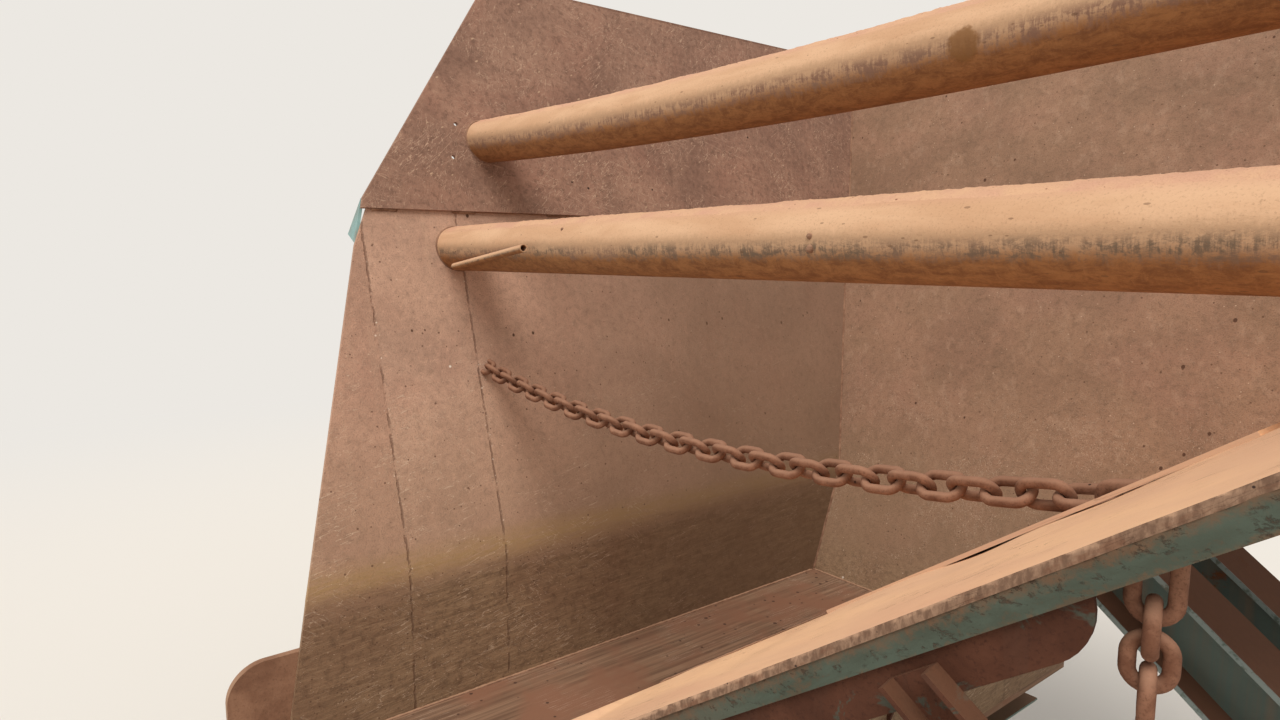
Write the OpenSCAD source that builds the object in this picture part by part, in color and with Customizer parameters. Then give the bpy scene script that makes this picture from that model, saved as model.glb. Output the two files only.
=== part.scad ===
// Feed hopper of a jaw crusher: a pan between a steep far wall and a shallow near wall,
// held apart by two pipes and crossed by a chain. Millimetres, Z up, ground at zero.
// X runs from the far wall to the near wall, Y from the crusher end to the dump end.

/* [Hopper section] */
// Clear width of the pan between the skirts
pan_w = 1350; // [1150:10:1550]
// Height of the pan floor above the ground
pan_z = 1200; // [1100:10:1300]
// Height of the bend at the foot of the far wall
bend_z = 1750; // [1700:5:1850]
// Height of the lap seam and of the knuckle in the near wall
seam_z = 3185; // [3100:5:3300]
// Height of the rim
rim_z = 4215; // [4050:5:4300]
// Flare of the far wall off the vertical, in degrees
flare = 16; // [14:0.5:18]
// Slope of the near plate off the level, in degrees
near_slope = 35.6; // [34:0.2:37]
// Height where the near plate leaves its skirt
near_foot_z = 1865; // [1820:1:1920]
// Radius of the pressed bend
bend_r = 260; // [150:10:350]

/* [Hopper length] */
// Length of the pan floor
pan_len = 3100; // [2900:10:3300]
// Length at the rim
rim_len = 4200; // [4050:10:4400]
// Front of the cheek plates, from the end of the pan
cheek_y = 105; // [80:5:150]
// Front edge of the far wall at the pan floor
edge_pan_y = 280; // [240:5:320]
// Front edge of the far wall at the bend
edge_bend_y = 375; // [350:5:420]
// Front edge of the far wall at the seam
edge_seam_y = 770; // [720:5:800]
// Front edge of the far wall at the rim
edge_rim_y = 1490; // [1400:10:1600]
// First upright weld seam of the far wall
seam_1_y = 755; // [700:5:800]
// Second upright weld seam of the far wall
seam_2_y = 1165; // [1100:5:1250]
// Set-back of the near front edge behind the far one
near_back = 60; // [20:5:120]
// Width of the lip, the front strip of the near plate that is pressed down
lip_w = 360; // [300:10:400]
// Drop of the lip at its front edge
lip_drop = 40; // [20:1:50]

/* [Plates] */
// Thickness of the far wall plates
wall_t = 16; // [12:1:20]
// Thickness of the near slope plate
slope_t = 16; // [14:1:22]
// Thickness of the pan floor
floor_t = 25; // [20:1:30]
// Thickness of the wear liner on the near slope
liner_t = 8; // [6:1:16]
// Lap of the upper plate over the lower one
lap = 45; // [30:5:60]

/* [Steelwork] */
// Depth and width of the wide-flange beams
beam_h = 125; // [110:5:140]
// Flange thickness of the beams
flange_t = 9; // [7:0.5:11]
// Web thickness of the beams
web_t = 7; // [6:0.5:9]
// Slope of the raking beams below the level, in degrees
rake = 38.2; // [36:0.2:40]
// Height where the raking beams meet the near plate
rake_top_z = 2455; // [2400:5:2520]
// Centre of the first raking beam
rake_1_y = 1210; // [1180:5:1300]
// Distance between the two beams of a pair
rake_gap = 220; // [200:5:260]
// Distance between the pairs
rake_pitch = 1050; // [1000:10:1100]
// Height of the top of the near carrier beam
carrier_z = 1500; // [1450:10:1600]
// Base plate side
foot_w = 260; // [220:10:300]
// Base plate thickness
foot_t = 20; // [16:1:25]
// Bolt spacing on a base plate
foot_pitch = 190; // [160:5:200]
// Anchor bolt hole
foot_hole = 24; // [18:1:28]
// Depth of the flat ribs behind the far and back walls
rib_d = 100; // [70:5:120]
// Thickness of ribs and webs
rib_t = 12; // [8:1:16]
// Depth of the rib under the lip
edge_rib_d = 54; // [40:2:70]
// Depth of the haunch webs under the near plate
haunch_d = 110; // [90:5:160]
// Depth of the beams under the pan
pan_beam_h = 200; // [160:5:240]
// Overhang of the rim flats
rim_leg = 80; // [60:5:100]
// Thickness of the rim flats
rim_t = 10; // [8:1:14]
// Thickness of the cheek plates
cheek_t = 28; // [20:1:35]
// Height of the top of the cheek plates
cheek_z = 1565; // [1500:5:1600]
// Radius of the front corner of the cheek plates
cheek_r = 130; // [100:5:200]

/* [Pipes] */
// Outer diameter of the brace pipes
pipe_od = 183; // [168:1:220]
// Wall of the brace pipes
pipe_t = 8; // [5:0.5:12]
// Place of the far end of the lower pipe along the hopper
low_pipe_y = 1150; // [1100:5:1200]
// How far its near end stands in front of its far end
low_pipe_skew = 85; // [0:5:120]
// Height of the lower pipe
low_pipe_z = 2985; // [2900:5:3040]
// Place of the upper pipe along the hopper
top_pipe_y = 1357; // [1320:1:1400]
// Height of the ends of the upper pipe
top_pipe_z = 3460; // [3420:5:3600]
// Sag in the middle of the upper pipe
top_pipe_sag = 50; // [20:1:60]
// Outer diameter of the stub tube
stub_od = 27; // [21:1:34]
// Length of the stub tube
stub_len = 720; // [600:10:800]

/* [Chain] */
// Diameter of the chain bar
bar_d = 21; // [18:0.5:23]
// Outer length of a link
link_len = 115; // [108:1:124]
// Outer width of a link
link_w = 74; // [70:1:80]
// Place of the wall eye along the hopper
eye_y = 1200; // [1160:5:1250]
// Height of the wall eye
eye_z = 2490; // [2450:1:2540]
// Place of the chain end along the hopper
slot_y = 1110; // [1090:5:1150]
// Height of the anchor bar under the near plate
bar_z = 2575; // [2560:1:2600]
// Depth of the anchor bar below the near plate, square to it
bar_depth = 84; // [76:1:96]
// Spare length of the chain over its span
slack = 1.002; // [1.002:0.002:1.03]
// Outer length of the first link of the loose end
tail_first = 125; // [110:1:140]
// Outer length of its other links
tail_link = 88; // [87:1:104]
// Outer width of the links of the loose end
tail_w = 70; // [70:1:78]

/* [Hidden] */
$fn = 48;
gap = 0.3;
big = 20000;

// Inner faces of the walls in the section, as [across, height]
far_pan = [-pan_w / 2, pan_z];
far_bend = [-pan_w / 2, bend_z];
far_seam = [far_bend[0] - (seam_z - bend_z) * tan(flare), seam_z];
far_top = [far_bend[0] - (rim_z - bend_z) * tan(flare), rim_z];
near_pan = [pan_w / 2, pan_z];
near_foot = [pan_w / 2, near_foot_z];
near_knuckle = [near_foot[0] + (seam_z - near_foot_z) / tan(near_slope), seam_z];
near_top = [near_knuckle[0] + (rim_z - seam_z) * tan(flare), rim_z];
back_lean = atan2(rim_len - pan_len, rim_z - pan_z);
back_over = 40;

// Raked front edge of the far wall as [along, height]; the near one stands behind it
far_edge = [[edge_pan_y, pan_z], [edge_bend_y, bend_z], [edge_seam_y, seam_z], [edge_rim_y, rim_z]];
edge_rise = (edge_seam_y - edge_bend_y) / (seam_z - bend_z);
trim_h = 190;
trim_w = 34;
lower_edge = [far_edge[0], far_edge[1], [edge_seam_y - trim_h * edge_rise, seam_z - trim_h],
    [edge_seam_y + trim_w, seam_z], [edge_seam_y + trim_w, rim_z]];
function near_edge(z) = edge_bend_y + (z - bend_z) * edge_rise + near_back;

function turn_left(v) = [-v[1], v[0]];
function unit(v) = v / norm(v);
function back_y(z) = pan_len + (z - pan_z) * tan(back_lean);
function under_z(x) = near_foot_z + (x - near_foot[0]) * tan(near_slope) - slope_t / cos(near_slope);
function under_x(z) = near_foot[0] + (z + slope_t / cos(near_slope) - near_foot_z) / tan(near_slope);

// A path moved sideways by t, mitred at its corners
function moved_point(p, i, t) =
    let (n1 = i > 0 ? turn_left(unit(p[i] - p[i - 1])) : turn_left(unit(p[i + 1] - p[i])),
        n2 = i < len(p) - 1 ? turn_left(unit(p[i + 1] - p[i])) : n1,
        m = unit(n1 + n2))
    p[i] + m * t / (m * n1);
function moved(p, t) = [for (i = [0 : len(p) - 1]) moved_point(p, i, t)];
function reversed(p) = [for (i = [len(p) - 1 : -1 : 0]) p[i]];
function strip(p, t) = concat(p, reversed(moved(p, t)));

// Round bend at the foot of the far wall
bend_cut = bend_r * tan(flare / 2);
bend_centre = [far_bend[0] - bend_r, bend_z - bend_cut];
bend_arc = [for (a = [0 : flare / 4 : flare]) bend_centre + bend_r * [cos(a), sin(a)]];
lap_dir = unit(far_top - far_seam);
lap_foot = far_seam - lap_dir * lap;
upper_in = moved([lap_foot, far_top], -wall_t);
flare_up = [sin(flare), cos(flare)];
flare_out = [cos(flare), -sin(flare)];
near_over = 60;
near_high = near_top + flare_up * near_over;
near_path = [near_pan, near_foot, near_knuckle, near_high];
near_out = moved(near_path, -slope_t);
near_rim_x = near_top[0] + slope_t / cos(flare) + rim_leg;

// Outline of the clear space in the section
section = concat([far_pan], bend_arc, [lap_foot], upper_in, reversed(near_path));

// Moves the whole hopper so that its box is centred over the origin
module placed() {
    x_lo = far_post_x - foot_w / 2;
    x_hi = near_rim_x;
    y_lo = -floor_t / 2;
    y_hi = rim_len + (wall_t + rib_d) * cos(back_lean);
    translate([-(x_lo + x_hi) / 2, -(y_lo + y_hi) / 2, 0])
        children();
}

// Extrudes a section outline from y0 to y1
module along(y0, y1) {
    translate([0, y1, 0])
        rotate([90, 0, 0])
            linear_extrude(y1 - y0)
                children();
}

// Extrudes a side outline, drawn as [along, height], from x0 to x1
module across(x0, x1) {
    translate([x0, 0, 0])
        rotate([90, 0, 90])
            linear_extrude(x1 - x0)
                children();
}

// Section of a wide-flange beam
module beam_shape(h, w) {
    translate([-web_t / 2, -h / 2])
        square([web_t, h]);
    for (s = [-1, 1])
        translate([-w / 2, s * (h - flange_t) / 2 - flange_t / 2])
            square([w, flange_t]);
}

// Beam along +X with its flanges above and below
module beam_x(len, h = beam_h, w = beam_h) {
    rotate([90, 0, 90])
        linear_extrude(len)
            beam_shape(h, w);
}

// Beam along +Y with its flanges above and below
module beam_y(len, h = beam_h, w = beam_h) {
    translate([0, len, 0])
        rotate([90, 0, 0])
            linear_extrude(len)
                beam_shape(h, w);
}

// Column on a base plate with four anchor holes, up to height z
module column(z, turn = 0) {
    difference() {
        translate([-foot_w / 2, -foot_w / 2, 0])
            cube([foot_w, foot_w, foot_t]);
        for (sx = [-1, 1], sy = [-1, 1])
            translate([sx * foot_pitch / 2, sy * foot_pitch / 2, -1])
                cylinder(d = foot_hole, h = foot_t + 2);
    }
    translate([0, 0, foot_t])
        rotate([0, 0, turn])
            linear_extrude(z - foot_t)
                beam_shape(beam_h, beam_h);
}

// The pan
leg_in = 300;
leg_ys = [leg_in, pan_len / 2, pan_len - leg_in];
leg_x = pan_w / 2 + 130;
pan_beam_x = pan_w / 2 - 150;
pan_under = pan_z - floor_t;
cross_top = pan_under - pan_beam_h;
leg_top = cross_top - beam_h;

module pan_floor() {
    color("#6b5a4c")
        translate([-pan_w / 2 - wall_t, 0, pan_under])
            cube([pan_w + wall_t + slope_t, pan_len + back_over, floor_t]);
}

// Half-round nose bar in front of the pan floor
module front_lip() {
    color("#6b5a4c")
        intersection() {
            translate([-pan_w / 2 - wall_t, 0, pan_under + floor_t / 2])
                rotate([0, 90, 0])
                    cylinder(d = floor_t, h = pan_w + wall_t + slope_t);
            translate([-pan_w, -floor_t, pan_under])
                cube([2 * pan_w, floor_t, floor_t]);
        }
}

// Bolting flange toward the crusher, under the nose of the pan
flange_h = 180;
flange_plate_t = 20;
flange_bolt = 22;
flange_bolts = 6;
flange_in = 100;
flange_pitch = (pan_w - 2 * flange_in) / (flange_bolts - 1);
module front_flange() {
    color("#52716b")
        difference() {
            translate([-pan_w / 2, 0, pan_under - flange_h])
                cube([pan_w, flange_plate_t, flange_h]);
            for (i = [0 : flange_bolts - 1])
                translate([(i - (flange_bolts - 1) / 2) * flange_pitch, -1, pan_under - flange_h / 2])
                    rotate([-90, 0, 0])
                        cylinder(d = flange_bolt, h = flange_plate_t + 2);
        }
}

module pan_beam(x) {
    color("#52716b")
        translate([x, flange_plate_t, pan_under - pan_beam_h / 2])
            beam_y(pan_len + back_over - flange_plate_t, pan_beam_h, beam_h);
}

module far_pan_beam() {
    pan_beam(-pan_beam_x);
}

module near_pan_beam() {
    pan_beam(pan_beam_x);
}

module pan_cross_beams() {
    color("#52716b")
        for (y = leg_ys)
            translate([-leg_x - beam_h / 2, y, cross_top - beam_h / 2])
                beam_x(2 * leg_x + beam_h);
}

module legs(x) {
    color("#52716b")
        for (y = leg_ys)
            translate([x, y, 0])
                column(leg_top);
}

module far_legs() {
    legs(-leg_x);
}

module near_legs() {
    legs(leg_x);
}

// Cheek plate with a round front corner, from x0 outward
cheek_lap = 90;
module cheek(x0) {
    color("#7a5c48")
        across(x0, x0 + cheek_t)
            union() {
                translate([cheek_y + cheek_r, pan_under])
                    square([edge_bend_y + cheek_lap - cheek_y - cheek_r, cheek_z - pan_under]);
                translate([cheek_y, pan_under])
                    square([cheek_r, cheek_z - cheek_r - pan_under]);
                translate([cheek_y + cheek_r, cheek_z - cheek_r])
                    circle(r = cheek_r);
            }
}

module far_cheek() {
    cheek(-pan_w / 2 - wall_t - cheek_t);
}

module near_cheek() {
    cheek(pan_w / 2 + slope_t);
}

// Side outline of a wall, from its raked front edge to the back
module side_outline(edge) {
    polygon(concat(edge, [[back_y(rim_z) + back_over, rim_z], [back_y(pan_z) + back_over, pan_z]]));
}

module far_side(edge = far_edge) {
    across(-big, 0)
        side_outline(edge);
}

// Far wall plates between two places along the hopper, their top corner trimmed off
module far_plate(y0, y1) {
    intersection() {
        along(y0, y1)
            polygon(strip(concat([far_pan], bend_arc, [far_seam]), wall_t));
        far_side(lower_edge);
    }
}

module far_front_patch() {
    color("#8a6a55")
        far_plate(0, seam_1_y);
}

module far_wall_plate() {
    color("#8a6a55")
        far_plate(seam_1_y, seam_2_y);
}

module far_rear_plate() {
    color("#84644f")
        far_plate(seam_2_y, rim_len + back_over);
}

// The upper plate laps over the inside of the lower ones and has two spare bolt holes
bolt_hole = 18;
bolt_holes = [[edge_seam_y + 454, seam_z + 336], [edge_seam_y + 420, seam_z + 189]];
module far_upper_plate() {
    color("#5e453a")
        difference() {
            intersection() {
                along(0, rim_len + back_over)
                    polygon(concat([lap_foot, far_top], reversed(upper_in)));
                far_side();
            }
            for (p = bolt_holes)
                translate([far_seam[0] - (p[1] - seam_z) * tan(flare), p[0], p[1]])
                    rotate([0, 90 - flare, 0])
                        cylinder(d = bolt_hole, h = 4 * wall_t, center = true);
        }
}

// Small gusset on the outside of the far wall, along the trimmed corner
gusset_l = 195;
gusset_out = 120;
module far_edge_gusset() {
    color("#6f9b98")
        translate([far_seam[0] - wall_t / cos(flare), edge_seam_y + 3, seam_z])
            rotate([0, -flare, 0])
                rotate([-atan(edge_rise * cos(flare)), 0, 0])
                    along(0, rib_t)
                        polygon([[0, 0], [0, -gusset_l], [-gusset_out, -gusset_l * 0.6]]);
}

// Sloping ribs on the outside of the far wall; the first one stops at the seam
rib_front = 900;
rib_1 = 1720;
rib_pitch = 900;
rib_ys = concat([rib_front], [for (i = [0 : 2]) rib_1 + i * rib_pitch]);
rib_out = moved(concat([far_pan], bend_arc, [far_top]), wall_t + rib_d);
module far_ribs() {
    color("#52716b")
        for (y = rib_ys)
            intersection() {
                along(y - rib_t / 2, y + rib_t / 2)
                    polygon(concat(moved(concat([far_pan], bend_arc, [far_seam]), wall_t),
                        [far_seam, far_top], reversed(rib_out)));
                far_side();
                translate([-big, 0, cheek_z + 20])
                    cube([2 * big, big, y == rib_front ? seam_z - lap - cheek_z - 20 : big]);
            }
}

// Posts behind the far wall, and struts from them to the ribs
far_post_x = far_top[0] - (wall_t + rib_d) / cos(flare) - beam_h / 2;
strut_low = 250;
strut_in = 200;
strut_zs = [bend_z + strut_low, seam_z - strut_in, rim_z - strut_in];
strut_h = 60;
module far_posts() {
    color("#52716b")
        for (i = [1 : 3])
            translate([far_post_x, rib_ys[i], 0])
                column(rim_z - 20, 90);
}

function rib_out_x(z) = far_bend[0] - (z - bend_z) * tan(flare) - (wall_t + rib_d) / cos(flare);
module far_struts() {
    color("#52716b")
        for (i = [1 : 3], z = strut_zs)
            if (back_y(z) > rib_ys[i] + 50)
                along(rib_ys[i] - strut_h / 2, rib_ys[i] + strut_h / 2)
                    polygon([[far_post_x + beam_h / 2, z], [rib_out_x(z), z],
                        [rib_out_x(z + strut_h), z + strut_h], [far_post_x + beam_h / 2, z + strut_h]]);
}

far_rim_x = far_top[0] + wall_t / cos(flare);
module far_rim() {
    color("#5e453a")
        along(edge_rim_y, rim_len + back_over)
            polygon([[far_rim_x, rim_z], [far_top[0] - rim_leg, rim_z],
                [far_top[0] - rim_leg, rim_z + rim_t], [far_rim_x, rim_z + rim_t]]);
}

// The near side
module near_side() {
    across(0, big)
        side_outline([for (p = far_edge) p + [near_back, 0]]);
}

module near_skirt() {
    color("#7a5c48")
        intersection() {
            along(0, rim_len + back_over)
                polygon([near_path[0], near_path[1], near_out[1], near_out[0]]);
            near_side();
        }
}

// The upper plate reaches below the slope, which butts against its face
upper_down = 110;
near_low = near_knuckle - flare_up * upper_down;
slope_seat = near_knuckle - flare_up * slope_t / cos(flare + near_slope);
module near_upper_plate() {
    color("#8a6a55")
        intersection() {
            along(0, rim_len + back_over)
                polygon([near_low, near_high, near_high + flare_out * slope_t, near_low + flare_out * slope_t]);
            near_side();
        }
}

// Frame of the near slope: X up the slope from its foot, Y along the hopper, Z off its face
slope_dir = [cos(near_slope), sin(near_slope)];
slope_down = [sin(near_slope), -cos(near_slope)];
slope_len = norm(near_knuckle - near_foot);
function on_slope(s, depth) = near_foot + slope_dir * s + slope_down * depth;
function to_slope(p) = [(p - near_foot) * slope_dir, (p - near_foot) * slope_down];
module on_near(y) {
    translate([near_foot[0], y, near_foot_z])
        rotate([0, -near_slope, 0])
            children();
}

// Frame of the lip: X along the fold, Y across the lip, Z off its face
fold_y = near_edge(near_foot_z) + lip_w;
fold_turn = atan(edge_rise * sin(near_slope));
lip_tilt = atan(lip_drop / (lip_w * cos(fold_turn)));
lip_front = -lip_w * cos(fold_turn) / cos(lip_tilt);
module on_lip() {
    on_near(fold_y)
        rotate([0, 0, fold_turn])
            rotate([lip_tilt, 0, 0])
                children();
}

// The lip and what hangs under it end at the outside of the skirt and at the upper plate
skirt_out = near_foot[0] + slope_t;
module lip_span() {
    along(0, rim_len)
        polygon([[skirt_out, pan_z], [skirt_out, seam_z], near_knuckle, near_low, [near_low[0], pan_z]]);
}

// Area behind the fold, in the frame of the near slope and up to a place along the hopper
module behind_fold(s0, s1, y1, back = 0) {
    polygon([[s0, s0 * tan(fold_turn) + back], [s1, s1 * tan(fold_turn) + back], [s1, y1 - fold_y],
        [s0, y1 - fold_y]]);
}

// Main plate behind the fold, its edge on the skirt, and the lip in front of the fold
module near_slope_plate() {
    color("#d9a873")
        difference() {
            union() {
                intersection() {
                    along(0, rim_len + back_over)
                        polygon([near_foot, near_knuckle, slope_seat, near_out[1]]);
                    near_side();
                    on_near(fold_y)
                        translate([0, 0, -4 * slope_t])
                            linear_extrude(5 * slope_t)
                                behind_fold(-100, slope_len + 100, big);
                }
                intersection() {
                    along(0, rim_len + back_over)
                        polygon([near_foot, on_slope(slope_t / cos(near_slope), 0), near_out[1]]);
                    near_side();
                }
                intersection() {
                    on_lip()
                        translate([-lip_w, lip_front, -slope_t])
                            cube([slope_len + 3 * lip_w, -lip_front, slope_t]);
                    lip_span();
                }
            }
            chain_slot();
        }
}

// Anchor bar under the near plate, on the back of the edge rib and in a lug
pin_d = 20;
bar_x = near_foot[0] + (bar_depth + (bar_z - near_foot_z) * cos(near_slope)) / sin(near_slope);
bar_s = to_slope([bar_x, bar_z])[0];
bar_back = slot_y + link_w / 2 + 24;
lug_t = 12;
lug_w = 80;

// Slot burnt through the near plate and its liner for the chain
slot_w = link_w + 24;
slot_l = 270;
slot_before = 120;
slot_deep = 120;
module chain_slot() {
    on_near(slot_y)
        translate([bar_s - slot_before, 0, -slot_deep / 2])
            linear_extrude(slot_deep)
                union() {
                    for (i = [-1, 1])
                        translate([i * (slot_l - slot_w) / 2, 0])
                            circle(d = slot_w);
                    translate([-(slot_l - slot_w) / 2, -slot_w / 2])
                        square([slot_l - slot_w, slot_w]);
                }
}

// Wear liner laid on the middle of the near plate, behind the fold
liner_from = 600;
liner_to = 1420;
liner_back = 4;
liner_short = 1200;
module near_liner() {
    color("#c49468")
        difference() {
            on_near(fold_y)
                linear_extrude(liner_t)
                    behind_fold(liner_from, liner_to, rim_len - liner_short, liner_back);
            chain_slot();
        }
}

// Rib on edge under the front edge of the lip
edge_in = 6;
module near_edge_rib() {
    color("#5d7f79")
        intersection() {
            on_lip()
                along(lip_front + edge_in, lip_front + edge_in + rib_t)
                    polygon([[-lip_w, -slope_t], [slope_len + lip_w, -slope_t],
                        [slope_len + lip_w, -slope_t - edge_rib_d], [-lip_w, -slope_t - edge_rib_d * 0.6]]);
            lip_span();
        }
}

// Haunch web between the near skirt and the slope, with a round outer end, as [up, down]
haunch_len = 1235;
haunch_r = 90;
haunch_low = 1380;
haunch_edge = slope_t + haunch_d;
haunch_arc = [for (a = [0 : 10 : 90]) [haunch_len + haunch_r * (cos(a) - 1), haunch_edge + haunch_r * (sin(a) - 1)]];
haunch = concat([[-lip_w, slope_t], [haunch_len, slope_t]], haunch_arc,
    [[haunch_d, haunch_edge], to_slope([skirt_out, haunch_low]), to_slope([near_foot[0], haunch_low])]);

// The front web has a channel stay on its face, from under the edge rib to the carrier beam
stay_at = 944;
stay_w = 80;
stay_flange = 45;
stay_t = 8;
stay_top = slope_t + edge_rib_d + stay_t;
web_front = lip_front + edge_in + rib_t;
module stay_section() {
    difference() {
        translate([-stay_flange, -stay_w / 2])
            square([stay_flange, stay_w]);
        translate([-stay_flange - 1, stay_t - stay_w / 2])
            square([stay_flange + 1 - stay_t, stay_w - 2 * stay_t]);
    }
}

module near_front_web() {
    color("#7d4f3c")
        intersection() {
            on_lip()
                along(web_front, web_front + rib_t)
                    polygon([for (p = haunch) [p[0], -p[1]]]);
            lip_span();
        }
    color("#7d4f3c")
        intersection() {
            on_lip()
                intersection() {
                    translate([stay_at, web_front, -stay_top])
                        rotate([0, near_slope + rake, 0])
                            translate([-stay_w, 0, 0])
                                rotate([90, 0, 90])
                                    linear_extrude(beam_long)
                                        stay_section();
                    translate([-big / 2, -big / 2, -stay_top - big])
                        cube(big);
                }
            translate([0, -big / 2, carrier_z])
                cube(big);
        }
}

rear_webs = [for (i = [0, 1]) rake_1_y + rake_gap / 2 + (i + 0.5) * rake_pitch];
module near_rear_webs() {
    color("#7d4f3c")
        intersection() {
            for (y = rear_webs)
                along(y, y + rib_t)
                    polygon([for (p = haunch) on_slope(p[0], p[1])]);
            lip_span();
        }
}

// Pairs of raking beams from under the near plate down to the carrier beam
carrier_h = 200;
beam_reach = 900;
beam_up = 400;
beam_long = 3000;
rake_foot = [under_x(rake_top_z) + (rake_top_z - carrier_z) / tan(rake), carrier_z];
module raking_pair(i) {
    color("#5d7f79")
        intersection() {
            for (k = [0, 1])
                translate([under_x(rake_top_z), rake_1_y + i * rake_pitch + k * rake_gap, rake_top_z])
                    rotate([0, rake, 0])
                        translate([-beam_up, 0, 0])
                            beam_x(beam_long);
            along(0, rim_len)
                polygon([[skirt_out, under_z(skirt_out)], near_out[2], [near_out[2][0] + beam_reach, carrier_z],
                    [skirt_out, carrier_z]]);
        }
}

module near_beams_1() {
    raking_pair(0);
}

module near_beams_2() {
    raking_pair(1);
}

module near_beams_3() {
    raking_pair(2);
}

carrier_y = 700;
module near_carrier() {
    color("#52716b")
        translate([rake_foot[0], carrier_y, carrier_z - carrier_h / 2])
            beam_y(rim_len - carrier_y, carrier_h, carrier_h);
}

post_in = 200;
post_pitch = (rim_len - carrier_y - 2 * post_in) / 3;
near_post_ys = [for (i = [0 : 3]) carrier_y + post_in + i * post_pitch];
module near_posts() {
    color("#52716b")
        for (y = near_post_ys)
            translate([rake_foot[0], y, 0])
                column(carrier_z - carrier_h);
}

// Uprights from the carrier to the near upper plate
knee_back = 330;
module near_knees() {
    color("#52716b")
        intersection() {
            for (i = [0 : 2])
                translate([rake_foot[0], rake_1_y + knee_back + i * rake_pitch, carrier_z])
                    linear_extrude(rim_z - carrier_z)
                        rotate([0, 0, 90])
                            beam_shape(beam_h, beam_h);
            along(0, rim_len)
                polygon([near_low + flare_out * slope_t, near_high + flare_out * slope_t, [big / 4, rim_z],
                    [big / 4, carrier_z], [near_low[0] + slope_t, carrier_z]]);
        }
}

module near_rim() {
    color("#5e453a")
        along(edge_rim_y + near_back, rim_len + back_over)
            polygon([[near_top[0], rim_z], [near_rim_x, rim_z], [near_rim_x, rim_z + rim_t],
                [near_top[0], rim_z + rim_t]]);
}

// Back plate between the walls, ribs behind it and its rim
module back_slab(t0, t1) {
    n = [cos(back_lean), -sin(back_lean)];
    a = [pan_len, pan_z];
    b = [rim_len, rim_z];
    polygon([a + n * t0, b + n * t0, b + n * t1, a + n * t1]);
}

module back_plate() {
    color("#84644f")
        intersection() {
            along(0, rim_len + 500)
                polygon(section);
            across(-big, big)
                back_slab(0, wall_t);
        }
}

back_pitch = 600;
module back_ribs() {
    color("#52716b")
        for (x = [-back_pitch : back_pitch : 2 * back_pitch])
            intersection() {
                across(x - rib_t / 2, x + rib_t / 2)
                    back_slab(wall_t, wall_t + rib_d);
                along(0, rim_len + 500)
                    polygon(section);
            }
}

module back_rim() {
    color("#5e453a")
        translate([far_rim_x, rim_len, rim_z])
            cube([near_top[0] - far_rim_x, back_over, rim_t]);
}

// Brace pipes, cut to the walls
module clear_space() {
    along(0, rim_len)
        polygon(section);
}

low_pipe_x = far_bend[0] - (low_pipe_z - bend_z) * tan(flare);
low_pipe_span = near_foot[0] + (low_pipe_z - near_foot_z) / tan(near_slope) - low_pipe_x;
module on_low_pipe() {
    translate([low_pipe_x, low_pipe_y, low_pipe_z])
        rotate([0, 0, -atan(low_pipe_skew / low_pipe_span)])
            children();
}

module lower_pipe() {
    color("#c9935f")
        intersection() {
            on_low_pipe()
                rotate([0, 90, 0])
                    difference() {
                        cylinder(d = pipe_od, h = big, center = true);
                        cylinder(d = pipe_od - 2 * pipe_t, h = big + 2, center = true);
                    }
            clear_space();
        }
}

// The upper pipe has sagged to a shallow arc between its ends
top_ends = [far_bend[0] - (top_pipe_z - bend_z) * tan(flare), near_knuckle[0] + (top_pipe_z - seam_z) * tan(flare)];
top_span = top_ends[1] - top_ends[0];
top_r = top_span * top_span / (8 * top_pipe_sag);
top_angle = 2 * asin((top_span / 2 + 300) / top_r);
module upper_pipe() {
    color("#c9935f")
        intersection() {
            translate([(top_ends[0] + top_ends[1]) / 2, top_pipe_y, top_pipe_z - top_pipe_sag + top_r])
                rotate([90, 0, 0])
                    rotate([0, 0, -90 - top_angle / 2])
                        rotate_extrude(angle = top_angle, $fn = 500)
                            translate([top_r, 0])
                                difference() {
                                    circle(d = pipe_od, $fn = 40);
                                    circle(d = pipe_od - 2 * pipe_t, $fn = 40);
                                }
            clear_space();
        }
}

// Thin tube welded to the front of the lower pipe, its open end standing off
stub_under = 44;
stub_off = tan(7.5);
stub_from = 140;
stub_dir = [1, -stub_off * sin(stub_under), stub_off * cos(stub_under)];
stub_seat = (pipe_od + stub_od) / 2 + gap;
stub_start = [stub_from, -stub_seat * cos(stub_under), -stub_seat * sin(stub_under)];
module stub_tube() {
    color("#b08a60")
        on_low_pipe()
            translate(stub_start)
                rotate([0, 90 - atan2(stub_dir[2], norm([stub_dir[0], stub_dir[1]])), atan2(stub_dir[1], 1)])
                    difference() {
                        cylinder(d = stub_od, h = stub_len);
                        translate([0, 0, -1])
                            cylinder(d = stub_od - 6, h = stub_len + 2);
                    }
}

// Chain: links on a catenary from the wall eye to the anchor bar
link_in = link_len - 2 * bar_d;
pitch = link_in - gap;
chain_end = (link_in - pin_d) / 2 - gap;

module link(len, w) {
    r = (w - bar_d) / 2;
    for (i = [-1, 1]) {
        translate([-(len - w) / 2, i * r, 0])
            rotate([0, 90, 0])
                cylinder(d = bar_d, h = len - w, $fn = 24);
        translate([i * (len - w) / 2, 0, 0])
            rotate([0, 0, -90 * i])
                rotate_extrude(angle = 180, $fn = 32)
                    translate([r, 0])
                        circle(d = bar_d, $fn = 24);
    }
}

function sinh(x) = (exp(x) - exp(-x)) / 2;
function cosh(x) = (exp(x) + exp(-x)) / 2;
function asinh(x) = ln(x + sqrt(x * x + 1));
// Half angle of the catenary, from the ratio of its length to its span, by halving
function half_angle(ratio, lo, hi, n) =
    n == 0 ? (lo + hi) / 2
    : let (m = (lo + hi) / 2) sinh(m) / m > ratio ? half_angle(ratio, lo, m, n - 1) : half_angle(ratio, m, hi, n - 1);

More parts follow.
